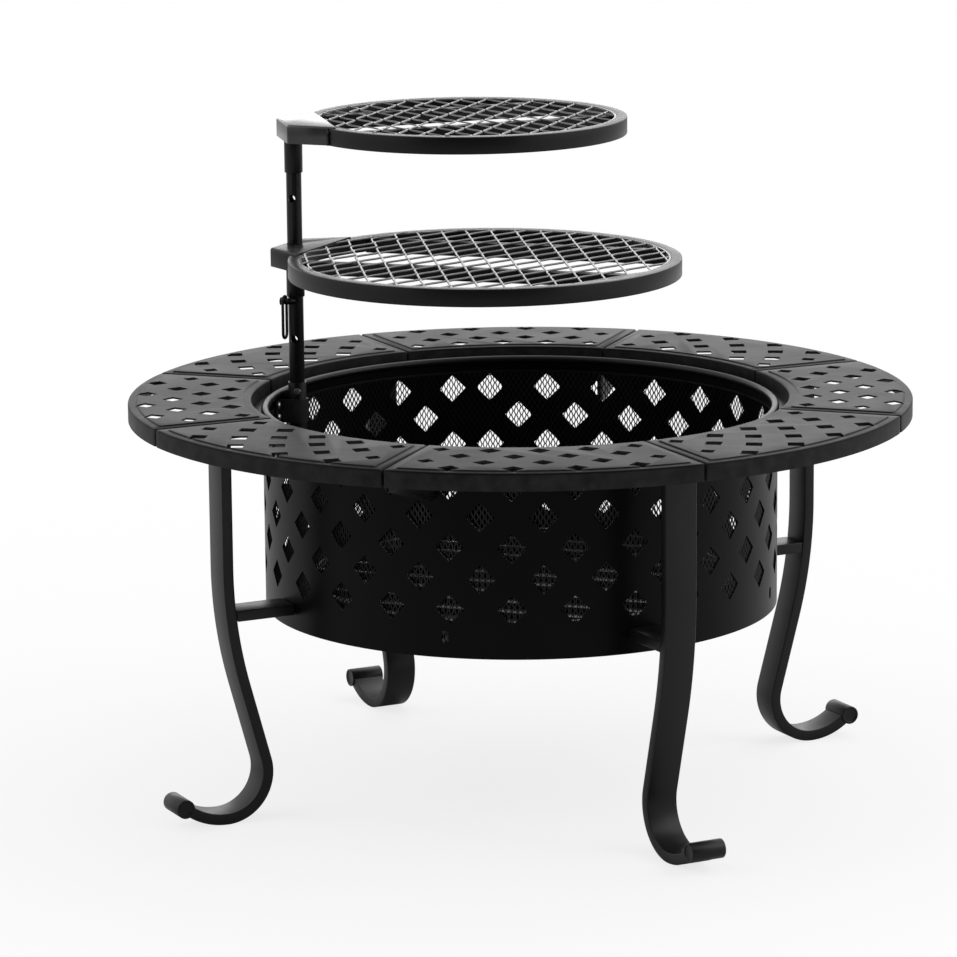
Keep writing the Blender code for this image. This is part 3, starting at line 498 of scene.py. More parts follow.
def joined(*shapes: BMesh) -> BMesh:
    """Puts several shapes into the first one.

    Args:
        shapes: the shapes, of which only the first is left.

    Returns:
        The first shape.
    """
    first = shapes[0]
    for other in shapes[1:]:
        carrier = bpy.data.meshes.new("carrier")
        other.to_mesh(carrier)
        other.free()
        first.from_mesh(carrier)
        bpy.data.meshes.remove(carrier)
    return first


class Sweep:
    """A section face that is drawn along straights and bends into one closed bar."""

    def __init__(self, section: Sequence[Vector], soften: float = 0.0, rounds: int = 2) -> None:
        """Starts with a section.

        Args:
            section: corners of the first end.
            soften: radius of the section's corners.
            rounds: segments of each softened corner.
        """
        self.shape = bmesh.new()
        corners = [self.shape.verts.new(point) for point in section]
        self.shape.faces.new(corners)
        if soften > 0.0:
            round_corners(self.shape, corners, soften, rounds)
        self.end = self.shape.faces[:]
        self.started = False

    def straight(self, run: Vector, grow: float = 1.0) -> None:
        """Draws the section straight on.

        Args:
            run: how far and which way.
            grow: factor by which the section widens.
        """
        made = bmesh.ops.extrude_face_region(self.shape, geom=self.end)
        moved = only(BMVert, made["geom"])
        bmesh.ops.translate(self.shape, verts=moved, vec=run)
        if grow != 1.0:
            middle = sum((vert.co for vert in moved), Vector()) / len(moved)
            bmesh.ops.scale(self.shape, vec=(grow, grow, grow), verts=moved,
                            space=Matrix.Translation(-middle))
        self.end = only(BMFace, made["geom"])
        self.started = True

    def bend(self, centre: Vector, axis: Vector, angle: float, steps: int) -> None:
        """Draws the section round a bend.

        Args:
            centre: a point on the bend's axis.
            axis: direction of that axis.
            angle: how far the section turns.
            steps: how many flats the bend has.
        """
        old = self.end
        made = bmesh.ops.spin(self.shape, geom=old, cent=centre, axis=axis, dvec=ORIGIN,
                              angle=math.radians(angle), steps=steps)
        self.end = only(BMFace, made["geom_last"])
        if self.started:
            bmesh.ops.delete(self.shape, geom=old, context="FACES_ONLY")
        self.started = True

    def closed(self) -> BMesh:
        """The finished bar, its faces turned outwards."""
        face_outwards(self.shape)
        return self.shape


# Pieces


def mesh_object(name: str, shape: BMesh) -> Object:
    """Makes an object at the origin from a shape, and frees the shape.

    Args:
        name: the object's name.
        shape: its shape.

    Returns:
        The object.
    """
    mesh = bpy.data.meshes.new(name)
    shape.to_mesh(mesh)
    shape.free()
    obj = bpy.data.objects.new(name, mesh)
    bpy.context.scene.collection.objects.link(obj)
    return obj


def discard(obj: Object) -> None:
    """Removes an object that only served as a pattern or a cutter.

    Args:
        obj: the object.
    """
    mesh = obj.data
    bpy.data.objects.remove(obj)
    bpy.data.meshes.remove(mesh)


def settle(obj: Object) -> None:
    """Applies an object's modifiers to its mesh.

    Args:
        obj: the object.
    """
    bpy.context.view_layer.update()
    graph = bpy.context.evaluated_depsgraph_get()
    mesh = bpy.data.meshes.new_from_object(obj.evaluated_get(graph), depsgraph=graph)
    obj.modifiers.clear()
    old = obj.data
    mesh.name = old.name
    obj.data = mesh
    bpy.data.meshes.remove(old)


def cut(obj: Object, cutter: BMesh, folded: bool = False) -> None:
    """Cuts an object with a shape, which is then gone.

    Args:
        obj: what is cut.
        cutter: the closed shape that cuts it.
        folded: whether the object's own faces may overlap in its folds.
    """
    knife = mesh_object(obj.name + "_cutter", cutter)
    step = obj.modifiers.new("cut", "BOOLEAN")
    step.operation = "DIFFERENCE"
    step.solver = "EXACT"
    step.use_self = folded
    step.object = knife
    settle(obj)
    discard(knife)


def thicken(obj: Object, sheet: float, offset: float = -1.0, even: bool = True) -> None:
    """Gives a surface the thickness of its sheet.

    Args:
        obj: the surface.
        sheet: the thickness.
        offset: which side it goes to, from -1 for inwards to 1 for outwards.
        even: whether it is kept even round folds.
    """
    step = obj.modifiers.new("sheet", "SOLIDIFY")
    step.thickness = sheet
    step.offset = offset
    step.use_even_offset = even
    settle(obj)


def ease(obj: Object, width: float, rounds: int = 1, sharper: float = 50.0) -> None:
    """Bevels an object's sharp edges.

    Args:
        obj: the object.
        width: width of the bevel.
        rounds: its segments.
        sharper: angle that an edge has to turn by.
    """
    step = obj.modifiers.new("ease", "BEVEL")
    step.width = width
    step.segments = rounds
    step.limit_method = "ANGLE"
    step.angle_limit = math.radians(sharper)
    settle(obj)


def dress(obj: Object, nodes: Sequence[str] = (), finish: Finish = BLACK_COAT,
          body: Body = Body.STAND, crease: float = 35.0) -> None:
    """Shades a piece, gives it its finish and sets it on its body.

    Args:
        obj: the piece.
        nodes: CAD nodes that it stands for.
        finish: its finish.
        body: the body it rides on.
        crease: angle above which an edge stays sharp.
    """
    obj.data.shade_smooth()
    obj.data.set_sharp_from_angle(angle=math.radians(crease))
    obj.data.materials.clear()
    obj.data.materials.append(finish.material())
    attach(obj, body.value)
    if nodes:
        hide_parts(*nodes)
    LOG.info("%s: %d faces on %s", obj.name, len(obj.data.polygons), body.value)


def piece(name: str, shape: BMesh, *nodes: str, finish: Finish = BLACK_COAT, body: Body = Body.STAND,
          crease: float = 35.0) -> None:
    """Makes a dressed piece of a shape, with nodes and the rest as in dress."""
    dress(mesh_object(name, shape), nodes, finish, body, crease)


def repeat(pattern: Object, made: str, label: str, angles: Sequence[float],
           finish: Finish = BLACK_COAT) -> None:
    """Makes a dressed piece of each copy of a pattern, which is then gone.

    Args:
        pattern: the undressed object, round +X.
        made: how the pieces are made, as their names' first word.
        label: the CAD nodes' names without their numbers.
        angles: how far each copy is turned about the upright axis.
        finish: the pieces' finish.
    """
    for number, angle in enumerate(angles, 1):
        node = f"{label}_{number}"
        twin = bpy.data.objects.new(f"{made}_{node}", pattern.data.copy())
        twin.data.name = twin.name
        twin.data.transform(turned(angle))
        bpy.context.scene.collection.objects.link(twin)
        dress(twin, [node], finish)
    discard(pattern)


def round_normals(obj: Object, nearly: float = 0.97) -> None:
    """Shades an object's walls as a true cylinder round the upright axis, and its other faces flat.

    Args:
        obj: the dressed object.
        nearly: how closely a face has to look outwards or inwards to be wall, where 1 is straight.
    """
    mesh = obj.data
    normals = [Vector()] * len(mesh.loops)
    for polygon in mesh.polygons:
        for loop, index in zip(polygon.loop_indices, polygon.vertices):
            outward = mesh.vertices[index].co.xyz * Vector((1.0, 1.0, 0.0))
            outward.normalize()
            facing = polygon.normal.dot(outward)
            wall = abs(facing) > nearly
            normals[loop] = outward * math.copysign(1.0, facing) if wall else polygon.normal
    mesh.normals_split_custom_set(normals)


@dataclass
class Table:
    """Eight pressed panels, the ring inside them and the brackets under their free seams."""

    radius: float = 0.4572
    inner: float = 0.3138
    top: float = 0.466
    sheet: float = 0.002
    skirt: float = 0.020
    inner_skirt: float = 0.018
    half_seam: float = 0.16
    panels: int = 8
    arc_steps: int = 40
    border: float = 0.0095
    border_corner: float = 0.0040
    field_corner: float = 0.0032
    field_edge: float = 0.0004
    step_width: float = 0.0016
    step_height: float = 0.0013
    fold: float = 0.0022
    cut_edge: float = 0.00035
    hole_pitch: float = 4.55
    hole: float = 0.0130
    end_hole: float = 0.0105
    even_rows: tuple = (0.341, 0.405)
    odd_rows: tuple = (0.373, 0.437)
    lines_each_side: int = 4
    bracket_start: float = 0.3011
    bracket_reach: float = 0.430
    bracket_depth: float = 0.045
    bracket_heel: float = 0.012
    bracket_tip: float = 0.012
    bracket_web: float = 0.006
    web_drop: float = 0.001
    bracket_flange: tuple = (0.030, 0.003)
    bracket_edge: float = 0.0006
    ring_edges: tuple = (0.30165, 0.3131)
    ring_heights: tuple = (0.4460, 0.4480)
    ring_edge: float = 0.0005
    ring_steps: int = 212

    def outline(self, shape: BMesh, inset: float, height: float, corner: float) -> BMFace:
        """Draws the panel's outline as one flat face round +X.

        Args:
            shape: what it is drawn in.
            inset: how far it is drawn in from the panel's edges.
            height: its height.
            corner: radius of its corners.

        Returns:
            The face.
        """
        half = 180.0 / self.panels - self.half_seam
        known = set(shape.faces)
        loop = []
        for reach, way in ((self.radius - inset, 1.0), (self.inner + inset, -1.0)):
            wide = half - math.degrees(math.asin(inset / reach))
            for step in range(self.arc_steps + 1):
                angle = way * wide * (2.0 * step / self.arc_steps - 1.0)
                loop.append(shape.verts.new(ray(angle) * reach + UP * height))
        shape.faces.new(loop)
        if corner > 0.0:
            last = self.arc_steps
            round_corners(shape, [loop[0], loop[last], loop[last + 1], loop[-1]], corner, 4)
        return next(face for face in shape.faces if face not in known)

    def sector(self) -> BMesh:
        """The panel's top with its raised field, as one sheet round +X.

        Returns:
            The open sheet.
        """
        shape = bmesh.new()
        low = self.top - self.step_height
        border = self.outline(shape, 0.0, low, 0.0)
        foot = self.outline(shape, self.border, low, self.border_corner)
        raised = self.outline(shape, self.border + self.step_width, self.top, self.field_corner)
        loops = [face.edges[:] for face in (border, foot, raised)]
        bmesh.ops.delete(shape, geom=[border, foot], context="FACES_ONLY")
        for near, far in zip(loops, loops[1:]):
            bmesh.ops.bridge_loops(shape, edges=near + far)
        face_outwards(shape)
        round_edges(shape, loops[2], self.field_edge, 2)
        return shape

    def folded(self) -> BMesh:
        """The panel's sheet with its skirts folded down.

        Returns:
            The open sheet, its faces up and outwards.
        """
        shape = self.sector()
        edges = [edge for edge in shape.edges if edge.is_boundary]
        made = bmesh.ops.extrude_edge_only(shape, edges=edges)
        for vert in only(BMVert, made["geom"]):
            near = vert.co.xy.length < self.inner + self.sheet / 2.0
            vert.co.z -= self.inner_skirt if near else self.skirt
        face_outwards(shape)
        if max(shape.faces, key=BMFace.calc_area).normal.z < 0.0:
            bmesh.ops.reverse_faces(shape, faces=shape.faces[:])
        round_edges(shape, sharp_edges(shape, 60.0), self.fold, 3)
        bmesh.ops.remove_doubles(shape, verts=shape.verts[:], dist=THREAD)
        bmesh.ops.dissolve_degenerate(shape, edges=shape.edges[:], dist=THREAD)
        return shape

    def punches(self) -> BMesh:
        """The punches of one panel's holes.

        Returns:
            The punches in one shape.
        """
        shapes = []
        for step in range(-self.lines_each_side, self.lines_each_side + 1):
            out = ray(step * self.hole_pitch)
            half = self.end_hole if abs(step) == self.lines_each_side else self.hole
            for reach in self.odd_rows if step % 2 else self.even_rows:
                shapes.append(diamond(out * reach + UP * self.top, half, out, UP))
        return joined(*shapes)

    def build_panels(self) -> None:
        """Makes the eight panels from one pattern."""
        pattern = mesh_object("panel_pattern", self.folded())
        thicken(pattern, self.sheet, even=False)
        cut(pattern, self.punches(), folded=True)
        ease(pattern, self.cut_edge)
        angles = [360.0 / self.panels * (number + 0.5) for number in range(self.panels)]
        repeat(pattern, "pressed", "table_panel", angles, TABLE_COAT)

    def build_brackets(self) -> None:
        """Makes the four T-section brackets from one pattern."""
        high = self.top - self.skirt - WELD_GAP
        half = self.bracket_web / 2.0
        start, reach = self.bracket_start, self.bracket_reach
        profile = ((start, self.web_drop), (reach, self.web_drop), (reach, self.bracket_tip),
                   (start + self.bracket_heel, self.bracket_depth), (start, self.bracket_depth))
        outline = [Vector((x, -half, high - drop)) for x, drop in profile]
        web = plate(outline, ACROSS * self.bracket_web, self.bracket_edge)
        wide, thick = self.bracket_flange
        flange = slab((start, -wide / 2.0), (reach, wide / 2.0), high, -thick, self.bracket_edge)
        pattern = mesh_object("bracket_pattern", joined(web, flange))
        repeat(pattern, "welded", "table_bracket", (0.0, 90.0, 180.0, 270.0))

    def build(self) -> None:
        """Makes the whole table."""
        self.build_panels()
        self.build_brackets()
        ring = hoop(*self.ring_edges, *self.ring_heights, self.ring_steps, self.ring_edge, rounds=2)
        piece("rolled_table_ring", ring, "table_ring")


@dataclass
class Legs:
    """Four bent flat-bar legs with their foot rolls and struts."""

    width: float = 0.038
    thick: float = 0.0127
    edge: float = 0.0011
    reach: float = 0.3825
    first_angle: float = 46.0
    top: float = 0.4457
    bend_height: float = 0.300
    bend_radius: float = 0.530
    bend_steps: int = 16
    slope: float = 15.3
    hook_radius: float = 0.051
    hook_steps: int = 28
    toe_radius: float = 0.080
    toe_angle: float = 33.0
    toe_overlap: float = 1.6
    toe_steps: int = 10
    roll_radius: float = 0.011
    roll_width: float = 0.042
    roll_border: float = 0.0022
    roll_slope: float = 0.0008
    roll_hollow: float = 0.0014
    roll_edge: float = 0.0006
    saddle_radius: float = 0.0115
    strut_start: float = 0.3011
    strut_bottom: float = 0.2374
    strut_gap: float = 0.0006

    def hook_centre(self) -> Vector:
        """Centre of the bend at the leg's foot.

        Returns:
            The point.
        """
        lean = math.radians(self.slope)
        height = self.hook_radius + self.thick / 2.0
        drop_radius = self.reach - self.bend_radius * (1.0 - math.cos(lean))
        drop_height = self.bend_height - self.bend_radius * math.sin(lean)
        start_height = height + self.hook_radius * math.sin(lean)
        start_radius = drop_radius - (drop_height - start_height) * math.tan(lean)
        return Vector((start_radius + self.hook_radius * math.cos(lean), 0.0, height))

    def roll_centre(self) -> Vector:
        """Centre of the roll at the toe's end.

        Returns:
            The point.
        """
        turn = math.radians(self.toe_angle)
        toe = Vector((self.hook_centre().x + self.toe_radius * math.sin(turn), 0.0,
                      self.thick / 2.0 + self.toe_radius * (1.0 - math.cos(turn))))
        return toe + self.saddle_radius * Vector((math.cos(turn), 0.0, math.sin(turn)))

    def bar(self) -> BMesh:
        """One leg as a swept flat bar, in the X-Z plane.

        Returns:
            The closed shape.
        """
        half_thick, half_width = self.thick / 2.0, self.width / 2.0
        section = [Vector((self.reach + side * half_thick, way * half_width, self.top))
                   for side, way in ((-1, -1), (1, -1), (1, 1), (-1, 1))]
        lean = math.radians(self.slope)
        hook = self.hook_centre()
        toe = Vector((hook.x, 0.0, self.thick / 2.0 + self.toe_radius))
        bend_end = self.bend_height - self.bend_radius * math.sin(lean)
        fall = (bend_end - (hook.z + self.hook_radius * math.sin(lean))) / math.cos(lean)
        sweep = Sweep(section, self.edge, rounds=3)
        sweep.straight(UP * (self.bend_height - self.top))
        sweep.bend(Vector((self.reach - self.bend_radius, 0.0, self.bend_height)), ACROSS, self.slope,
                   self.bend_steps)
        sweep.straight(Vector((-math.sin(lean), 0.0, -math.cos(lean))) * fall)
        sweep.bend(hook, ACROSS, -(90.0 + self.slope), self.hook_steps)
        sweep.bend(toe, ACROSS, -(self.toe_angle + self.toe_overlap), self.toe_steps)
        return sweep.closed()

    def roll(self) -> BMesh:
        """The roll at the toe's end, with hollowed faces.

        Returns:
            The closed shape.
        """
        centre = self.roll_centre()
        half = ACROSS * (self.roll_width / 2.0)
        shape = rod(centre - half, centre + half, self.roll_radius, sides=48)
        caps = [face for face in shape.faces if len(face.verts) > 4]
        bmesh.ops.inset_individual(shape, faces=caps, thickness=self.roll_border, depth=0.0)
        bmesh.ops.inset_individual(shape, faces=caps, thickness=self.roll_slope,
                                   depth=-self.roll_hollow)
        soften_edges(shape, self.roll_edge)
        return shape

    def strut(self) -> BMesh:
        """The flat bar between the drum and a leg.

        Returns:
            The closed shape.
        """
        half = self.width / 2.0
        low, high = self.strut_bottom, self.strut_bottom + self.thick
        tips = []
        for height in (low, high):
            drop = self.bend_height - height
            tips.append(self.reach - self.bend_radius + math.sqrt(self.bend_radius ** 2 - drop ** 2)
                        - self.thick / 2.0 - self.strut_gap)
        corners = ((self.strut_start, low), (tips[0], low), (tips[1], high), (self.strut_start, high))
        outline = [Vector((x, -half, height)) for x, height in corners]
        return plate(outline, ACROSS * self.width, self.edge, rounds=3)

    def build(self) -> None:
        """Makes the legs, rolls and struts."""
        angles = [self.first_angle + 90.0 * number for number in range(4)]
        for label, shape in (("leg", self.bar()), ("foot_roll", self.roll()), ("leg_strut", self.strut())):
            repeat(mesh_object(label + "_pattern", shape), "bent", label, angles)


@dataclass
class Socket:
    """The tube on the drum's wall that holds the pole, with its saddles, rivets and screw."""

    tube: float = 0.01075
    bore: float = 0.00945
    bottom: float = 0.300
    top: float = 0.464
    saddle_sheet: float = 0.002
    saddle_flange: float = 0.0285
    saddle_back: float = 0.29715
    saddle_edge: float = 0.0004
    saddle_heights: tuple = (("upper", 0.416, 0.444), ("lower", 0.314, 0.342))
    rivet_aside: float = 0.022
    rivet_heights: tuple = (0.424, 0.438, 0.328)
    head: float = 0.0046
    head_thick: float = 0.0024
    head_rim: float = 0.0002
    # Radius and share of the head's thickness on its dome, and radius and rise on its tail
    dome: tuple = ((0.0, 1.0), (0.0020, 0.94), (0.0034, 0.72), (0.0043, 0.4))
    shank: float = 0.0024
    tail: tuple = ((0.0041, 0.0), (0.0041, 0.0006), (0.0026, 0.0020), (0.0, 0.0024))
    screw_height: float = 0.4545
    screw_direction: float = -68.0
    screw_radius: float = 0.0025
    screw_reach: tuple = (0.0093, 0.0145)
    screw_head: float = 0.0042
    screw_head_reach: tuple = (0.01155, 0.0155)

    def rivet_places(self) -> list:
        """Side offset and height of each rivet."""
        return [(side * self.rivet_aside, height) for height in self.rivet_heights for side in (-1.0, 1.0)]

    def saddle(self, low: float, high: float) -> BMesh:
        """A strap bent round the tube, its flanges against the drum's wall.

        Args:
            low: height of its lower edge.
            high: height of its upper edge.

        Returns:
            The strap and its flanges in one shape.
        """
        inner = self.tube + WELD_GAP
        outer = inner + self.saddle_sheet
        back, face = self.saddle_back, self.saddle_back - self.saddle_sheet
        parts = []
        for side in (1.0, -1.0):
            half = bmesh.new()
            section = [half.verts.new((aside - POLE_DISTANCE, 0.0, height))
                       for aside, height in ((outer, low), (inner, low), (inner, high), (outer, high))]
            first = [half.faces.new(section)]
            made = bmesh.ops.spin(half, geom=first, cent=POLE_AXIS, axis=UP, dvec=ORIGIN,
                                  angle=side * math.pi / 2.0, steps=12)
            made = bmesh.ops.extrude_face_region(half, geom=only(BMFace, made["geom_last"]))
            for vert in only(BMVert, made["geom"]):
                vert.co.x = -back if abs(vert.co.y) < (inner + outer) / 2.0 else -face
            bmesh.ops.delete(half, geom=first, context="FACES_ONLY")
            parts.append(half)
        bend = joined(*parts)
        bmesh.ops.remove_doubles(bend, verts=bend.verts[:], dist=HAIR)
        face_outwards(bend)
        flanges = [slab((-back, side * inner), (-face, side * self.saddle_flange), low, high - low,
                        self.saddle_edge) for side in (1.0, -1.0)]
        return joined(bend, *flanges)

    def rivet(self, aside: float, height: float) -> BMesh:
        """A domed rivet through the saddle and the wall.

        Args:
            aside: how far it is beside the pole.
            height: its height.

        Returns:
            The closed shape.
        """
        flange = self.saddle_back - self.saddle_sheet - WELD_GAP
        wall = DRUM_RADIUS + WELD_GAP
        dome = [(radius, flange - self.head_thick * share) for radius, share in self.dome]
        middle = [(self.head, flange - self.head_rim), (self.head, flange), (self.shank, flange),
                  (self.shank, wall)]
        tail = [(radius, wall + rise) for radius, rise in self.tail]
        shape = dish(dome + middle + tail, steps=24)
        place = Matrix.Translation((0.0, aside, height)) @ Matrix.Rotation(-math.pi / 2.0, 4, "Y")
        bmesh.ops.transform(shape, matrix=place, verts=shape.verts[:])
        return shape

    def screw(self) -> BMesh:
        """The hexagon screw that clamps the pole.

        Returns:
            Its shank and head in one shape.
        """
        out = ray(self.screw_direction)
        centre = POLE_AXIS + UP * self.screw_height
        start, end = self.screw_reach
        shank = rod(centre + out * start, centre + out * end, self.screw_radius, sides=20)
        start, end = self.screw_head_reach
        head = rod(centre + out * start, centre + out * end, self.screw_head, sides=6, soften=0.0004)
        return joined(shank, head)

    def build(self) -> None:
        """Makes the socket and what holds it."""
        tube = hoop(self.bore, self.tube, self.bottom, self.top, steps=48, soften=0.0003, rounds=2)
        bmesh.ops.translate(tube, verts=tube.verts[:], vec=POLE_AXIS)
        piece("socket_tube", tube, "pole_socket")
        for label, low, high in self.saddle_heights:
            piece(f"bent_saddle_{label}", self.saddle(low, high), f"socket_saddle_{label}")
        for number, place in enumerate(self.rivet_places(), 1):
            piece(f"domed_rivet_{number}", self.rivet(*place), f"socket_rivet_{number}", finish=ZINC_PLATE)
        piece("hex_socket_screw", self.screw(), "socket_screw", finish=ZINC_PLATE)


@dataclass
class Drum:
    """The perforated drum with its rim, mesh liner and floor pan."""

    sheet: float = 0.0015
    bottom: float = 0.220
    top: float = 0.4470
    hole: float = 0.0168
    first_row: float = 0.276
    row_pitch: float = 0.0353
    first_hole: float = 125.1
    column: float = 6.75
    columns: int = 53
    wall_steps: int = 212
    slot_height: float = 0.244
    slot_start: float = 2.5
    slot: tuple = (0.008, 0.014)
    slot_round: float = 0.49
    cut_edge: float = 0.0003
    rivet_hole: float = 0.0029
    lap_middle: float = 120.6
    lap_half: float = 0.95
    lap_faces: tuple = (0.0001, 0.0013)
    lap_edge: float = 0.0003
    weld_spots: int = 6
    weld_first: float = 0.018
    weld_pitch: float = 0.038
    weld_radii: tuple = (0.0028, 0.0019)
    weld_start: float = 0.0012
    weld_rise: float = 0.0005
    weld_edge: float = 0.0002
    rim_wire: float = 0.0045
    rim_radius: float = 0.298
    liner_radius: float = 0.2984
    liner_low: float = 0.2330
    liner_high: float = 0.4380
    liner_gap: float = 6.4
    liner_strand: float = 0.0013
    liner_tilt: float = 0.18
    liner_sheet: float = 0.0008
    liner_cell: tuple = (0.0065, 0.0100)
    band_sheet: float = 0.0012
    # Heights of the selvedges' edges, from the liner's lower and upper ends
    band_edges: tuple = ((-0.0002, 0.0028), (-0.002, 0.0))
    pan_radius: float = 0.2983
    pan_height: float = 0.222
    pan_sheet: float = 0.002
    pan_edge: float = 0.0105
    pan_swage: tuple = ((0.170, 0.0), (0.174, 0.0016), (0.186, 0.0016), (0.190, 0.0))

    def wall(self) -> BMesh:
        """The outside of the drum's wall.

        Returns:
            The open surface, its faces outwards.
        """
        shape = bmesh.new()
        bmesh.ops.create_circle(shape, segments=self.wall_steps, radius=DRUM_RADIUS,
                                matrix=Matrix.Translation(UP * self.bottom))
        made = bmesh.ops.extrude_edge_only(shape, edges=shape.edges[:])
        bmesh.ops.translate(shape, verts=only(BMVert, made["geom"]), vec=UP * (self.top - self.bottom))
        face_outwards(shape)
        face = next(iter(shape.faces))
        if face.normal.dot(face.calc_center_median()) < 0.0:
            bmesh.ops.reverse_faces(shape, faces=shape.faces[:])
        return shape

    def slot_punch(self, outward: Vector) -> BMesh:
        """The punch of an air slot with round ends.

        Args:
            outward: direction from the drum's axis to the slot.

        Returns:
            The closed shape.
        """
        wide, tall = self.slot
        aside = UP.cross(outward) * wide / 2.0
        middle = outward * (DRUM_RADIUS - PUNCH / 2.0) + UP * self.slot_height
        corners = [middle + aside * side + UP * tall / 2.0 * lift
                   for side, lift in ((-1, -1), (1, -1), (1, 1), (-1, 1))]
        slot = plate(corners, outward * PUNCH)
        through = [edge for edge in slot.edges
                   if abs((edge.verts[1].co - edge.verts[0].co).dot(outward)) > PUNCH / 2.0]
        round_edges(slot, through, wide * self.slot_round, rounds=8)
        return slot

    def punches(self) -> BMesh:
        """The punches of the wall's holes and slots.

        Returns:
            The punches in one shape.
        """
        shapes = []
        for column in range(self.columns):
            out = ray(self.first_hole + self.column * column)
            for row in (1, 3) if column % 2 else (0, 2, 4):
                centre = out * DRUM_RADIUS + UP * (self.first_row + self.row_pitch * row)
                shapes.append(diamond(centre, self.hole, UP, out))
        slots = [self.slot_punch(ray(self.slot_start + 90.0 * quarter)) for quarter in range(4)]
        return joined(*shapes, *slots)

    def rivet_drills(self) -> BMesh:
        """The drills of the wall's rivet holes.

        Returns:
            The drills in one shape.
        """
        drills = []
        for aside, height in Socket().rivet_places():
            ends = [Vector((reach - DRUM_RADIUS, aside, height)) for reach in (-PUNCH / 2.0, PUNCH / 2.0)]
            drills.append(rod(*ends, self.rivet_hole, sides=16))
        return joined(*drills)

    def lap(self) -> BMesh:
        """The strip where the rolled sheet's ends lap, outside the wall, with its spot welds.

        Returns:
            The strip and its welds in one shape.
        """
        start, outer = (ray(self.lap_middle - self.lap_half) * (DRUM_RADIUS + face)
                        for face in self.lap_faces)
        sweep = Sweep([start + UP * self.bottom, outer + UP * self.bottom,
                       outer + UP * self.top, start + UP * self.top], self.lap_edge, rounds=1)
        sweep.bend(ORIGIN, UP, 2.0 * self.lap_half, steps=6)
        out = ray(self.lap_middle)
        welds = []
        wide, narrow = self.weld_radii
        for step in range(self.weld_spots):
            height = self.bottom + self.weld_first + self.weld_pitch * step
            spot = out * (DRUM_RADIUS + self.weld_start) + UP * height
            welds.append(rod(spot, spot + out * self.weld_rise, wide, sides=20, soften=self.weld_edge,
                             end_radius=narrow))
        return joined(sweep.closed(), *welds)

    def rim(self) -> BMesh:
        """The rolled wire rim.

        Returns:
            The closed shape.
        """
        shape = bmesh.new()
        height = self.top + WELD_GAP + self.rim_wire
        stand = Matrix.Translation((self.rim_radius, 0.0, height)) @ Matrix.Rotation(math.pi / 2.0, 4, "X")
        bmesh.ops.create_circle(shape, segments=20, radius=self.rim_wire, matrix=stand)
        return full_turn(shape, self.wall_steps)

    def liner_half(self, start: float, turn: float) -> BMesh:
        """Half of the expanded-metal liner.

        Args:
            start: where this half starts.
            turn: how far it goes round.

        Returns:
            The strands as thin surfaces.
        """
        wide, tall = self.liner_cell
        rises = 2 * round((self.liner_high - self.liner_low) / tall)
        pairs = round(math.radians(turn) * self.liner_radius / wide)
        pitch = math.radians(turn) / pairs
        swing = pitch / 4.0 - self.liner_strand / self.liner_radius / 2.0
        shape = bmesh.new()
        for strand in range(2):
            made = bmesh.ops.create_grid(shape, x_segments=1, y_segments=rises, size=1.0)
            for vert in made["verts"]:
                level = round((vert.co.y + 1.0) / 2.0 * rises)
                side = -1.0 if (level + strand) % 2 else 1.0
                aside = vert.co.x * self.liner_strand / 2.0 / self.liner_radius
                angle = math.radians(start) + pitch * (0.25 + 0.5 * strand) + side * swing + aside
                height = self.liner_low + (self.liner_high - self.liner_low) * level / rises
                lift = vert.co.x * self.liner_strand * self.liner_tilt
                reach = self.liner_radius - self.liner_sheet / 2.0 + lift
                vert.co = Vector((reach * math.cos(angle), reach * math.sin(angle), height))
        bmesh.ops.spin(shape, geom=shape.verts[:] + shape.edges[:] + shape.faces[:], cent=ORIGIN, axis=UP,
                       dvec=ORIGIN, angle=pitch * (pairs - 1), steps=pairs - 1, use_duplicate=True)
        return shape

    def band(self, low: float, high: float) -> BMesh:
        """A flat selvedge of the liner, open at the socket's saddles.

        Args:
            low: height of its lower edge.
            high: height of its upper edge.

        Returns:
            The closed shape.
        """
        inner, outer = self.liner_radius - self.band_sheet, self.liner_radius
        start = ray(180.0 + self.liner_gap)
        corners = ((inner, low), (outer, low), (outer, high), (inner, high))
        sweep = Sweep([start * reach + UP * height for reach, height in corners])
        sweep.bend(ORIGIN, UP, 360.0 - 2.0 * self.liner_gap, steps=160)
        return sweep.closed()

    def pan(self) -> BMesh:
        """The floor pan: a dished disc with a pressed ring and an upturned edge.

        Returns:
            The closed shape.
        """
        low, reach, sheet = self.pan_height, self.pan_radius, self.pan_sheet
        under = [(radius, low + rise) for radius, rise in self.pan_swage]
        over = [(radius, low + rise + sheet) for radius, rise in reversed(self.pan_swage)]
        edge = [(reach, low), (reach, low + self.pan_edge), (reach - sheet, low + self.pan_edge),
                (reach - sheet, low + sheet)]
        return dish([(0.0, low), *under, *edge, *over, (0.0, low + sheet)], steps=96)

    def build(self) -> None:
        """Makes the drum's pieces."""
        shell = mesh_object("rolled_drum_shell", self.wall())
        thicken(shell, self.sheet)
        cut(shell, self.punches())
        cut(shell, self.rivet_drills())
        ease(shell, self.cut_edge)
        # The drum takes the darker copy of the black coat, which is painted shade
        dress(shell, ["drum_shell"], DRUM_SHADED_COAT, crease=30.0)
        round_normals(shell)
        piece("drum_lap_seam", self.lap(), finish=DRUM_SHADED_COAT)
        piece("rolled_drum_rim", self.rim(), "drum_rim", crease=60.0)
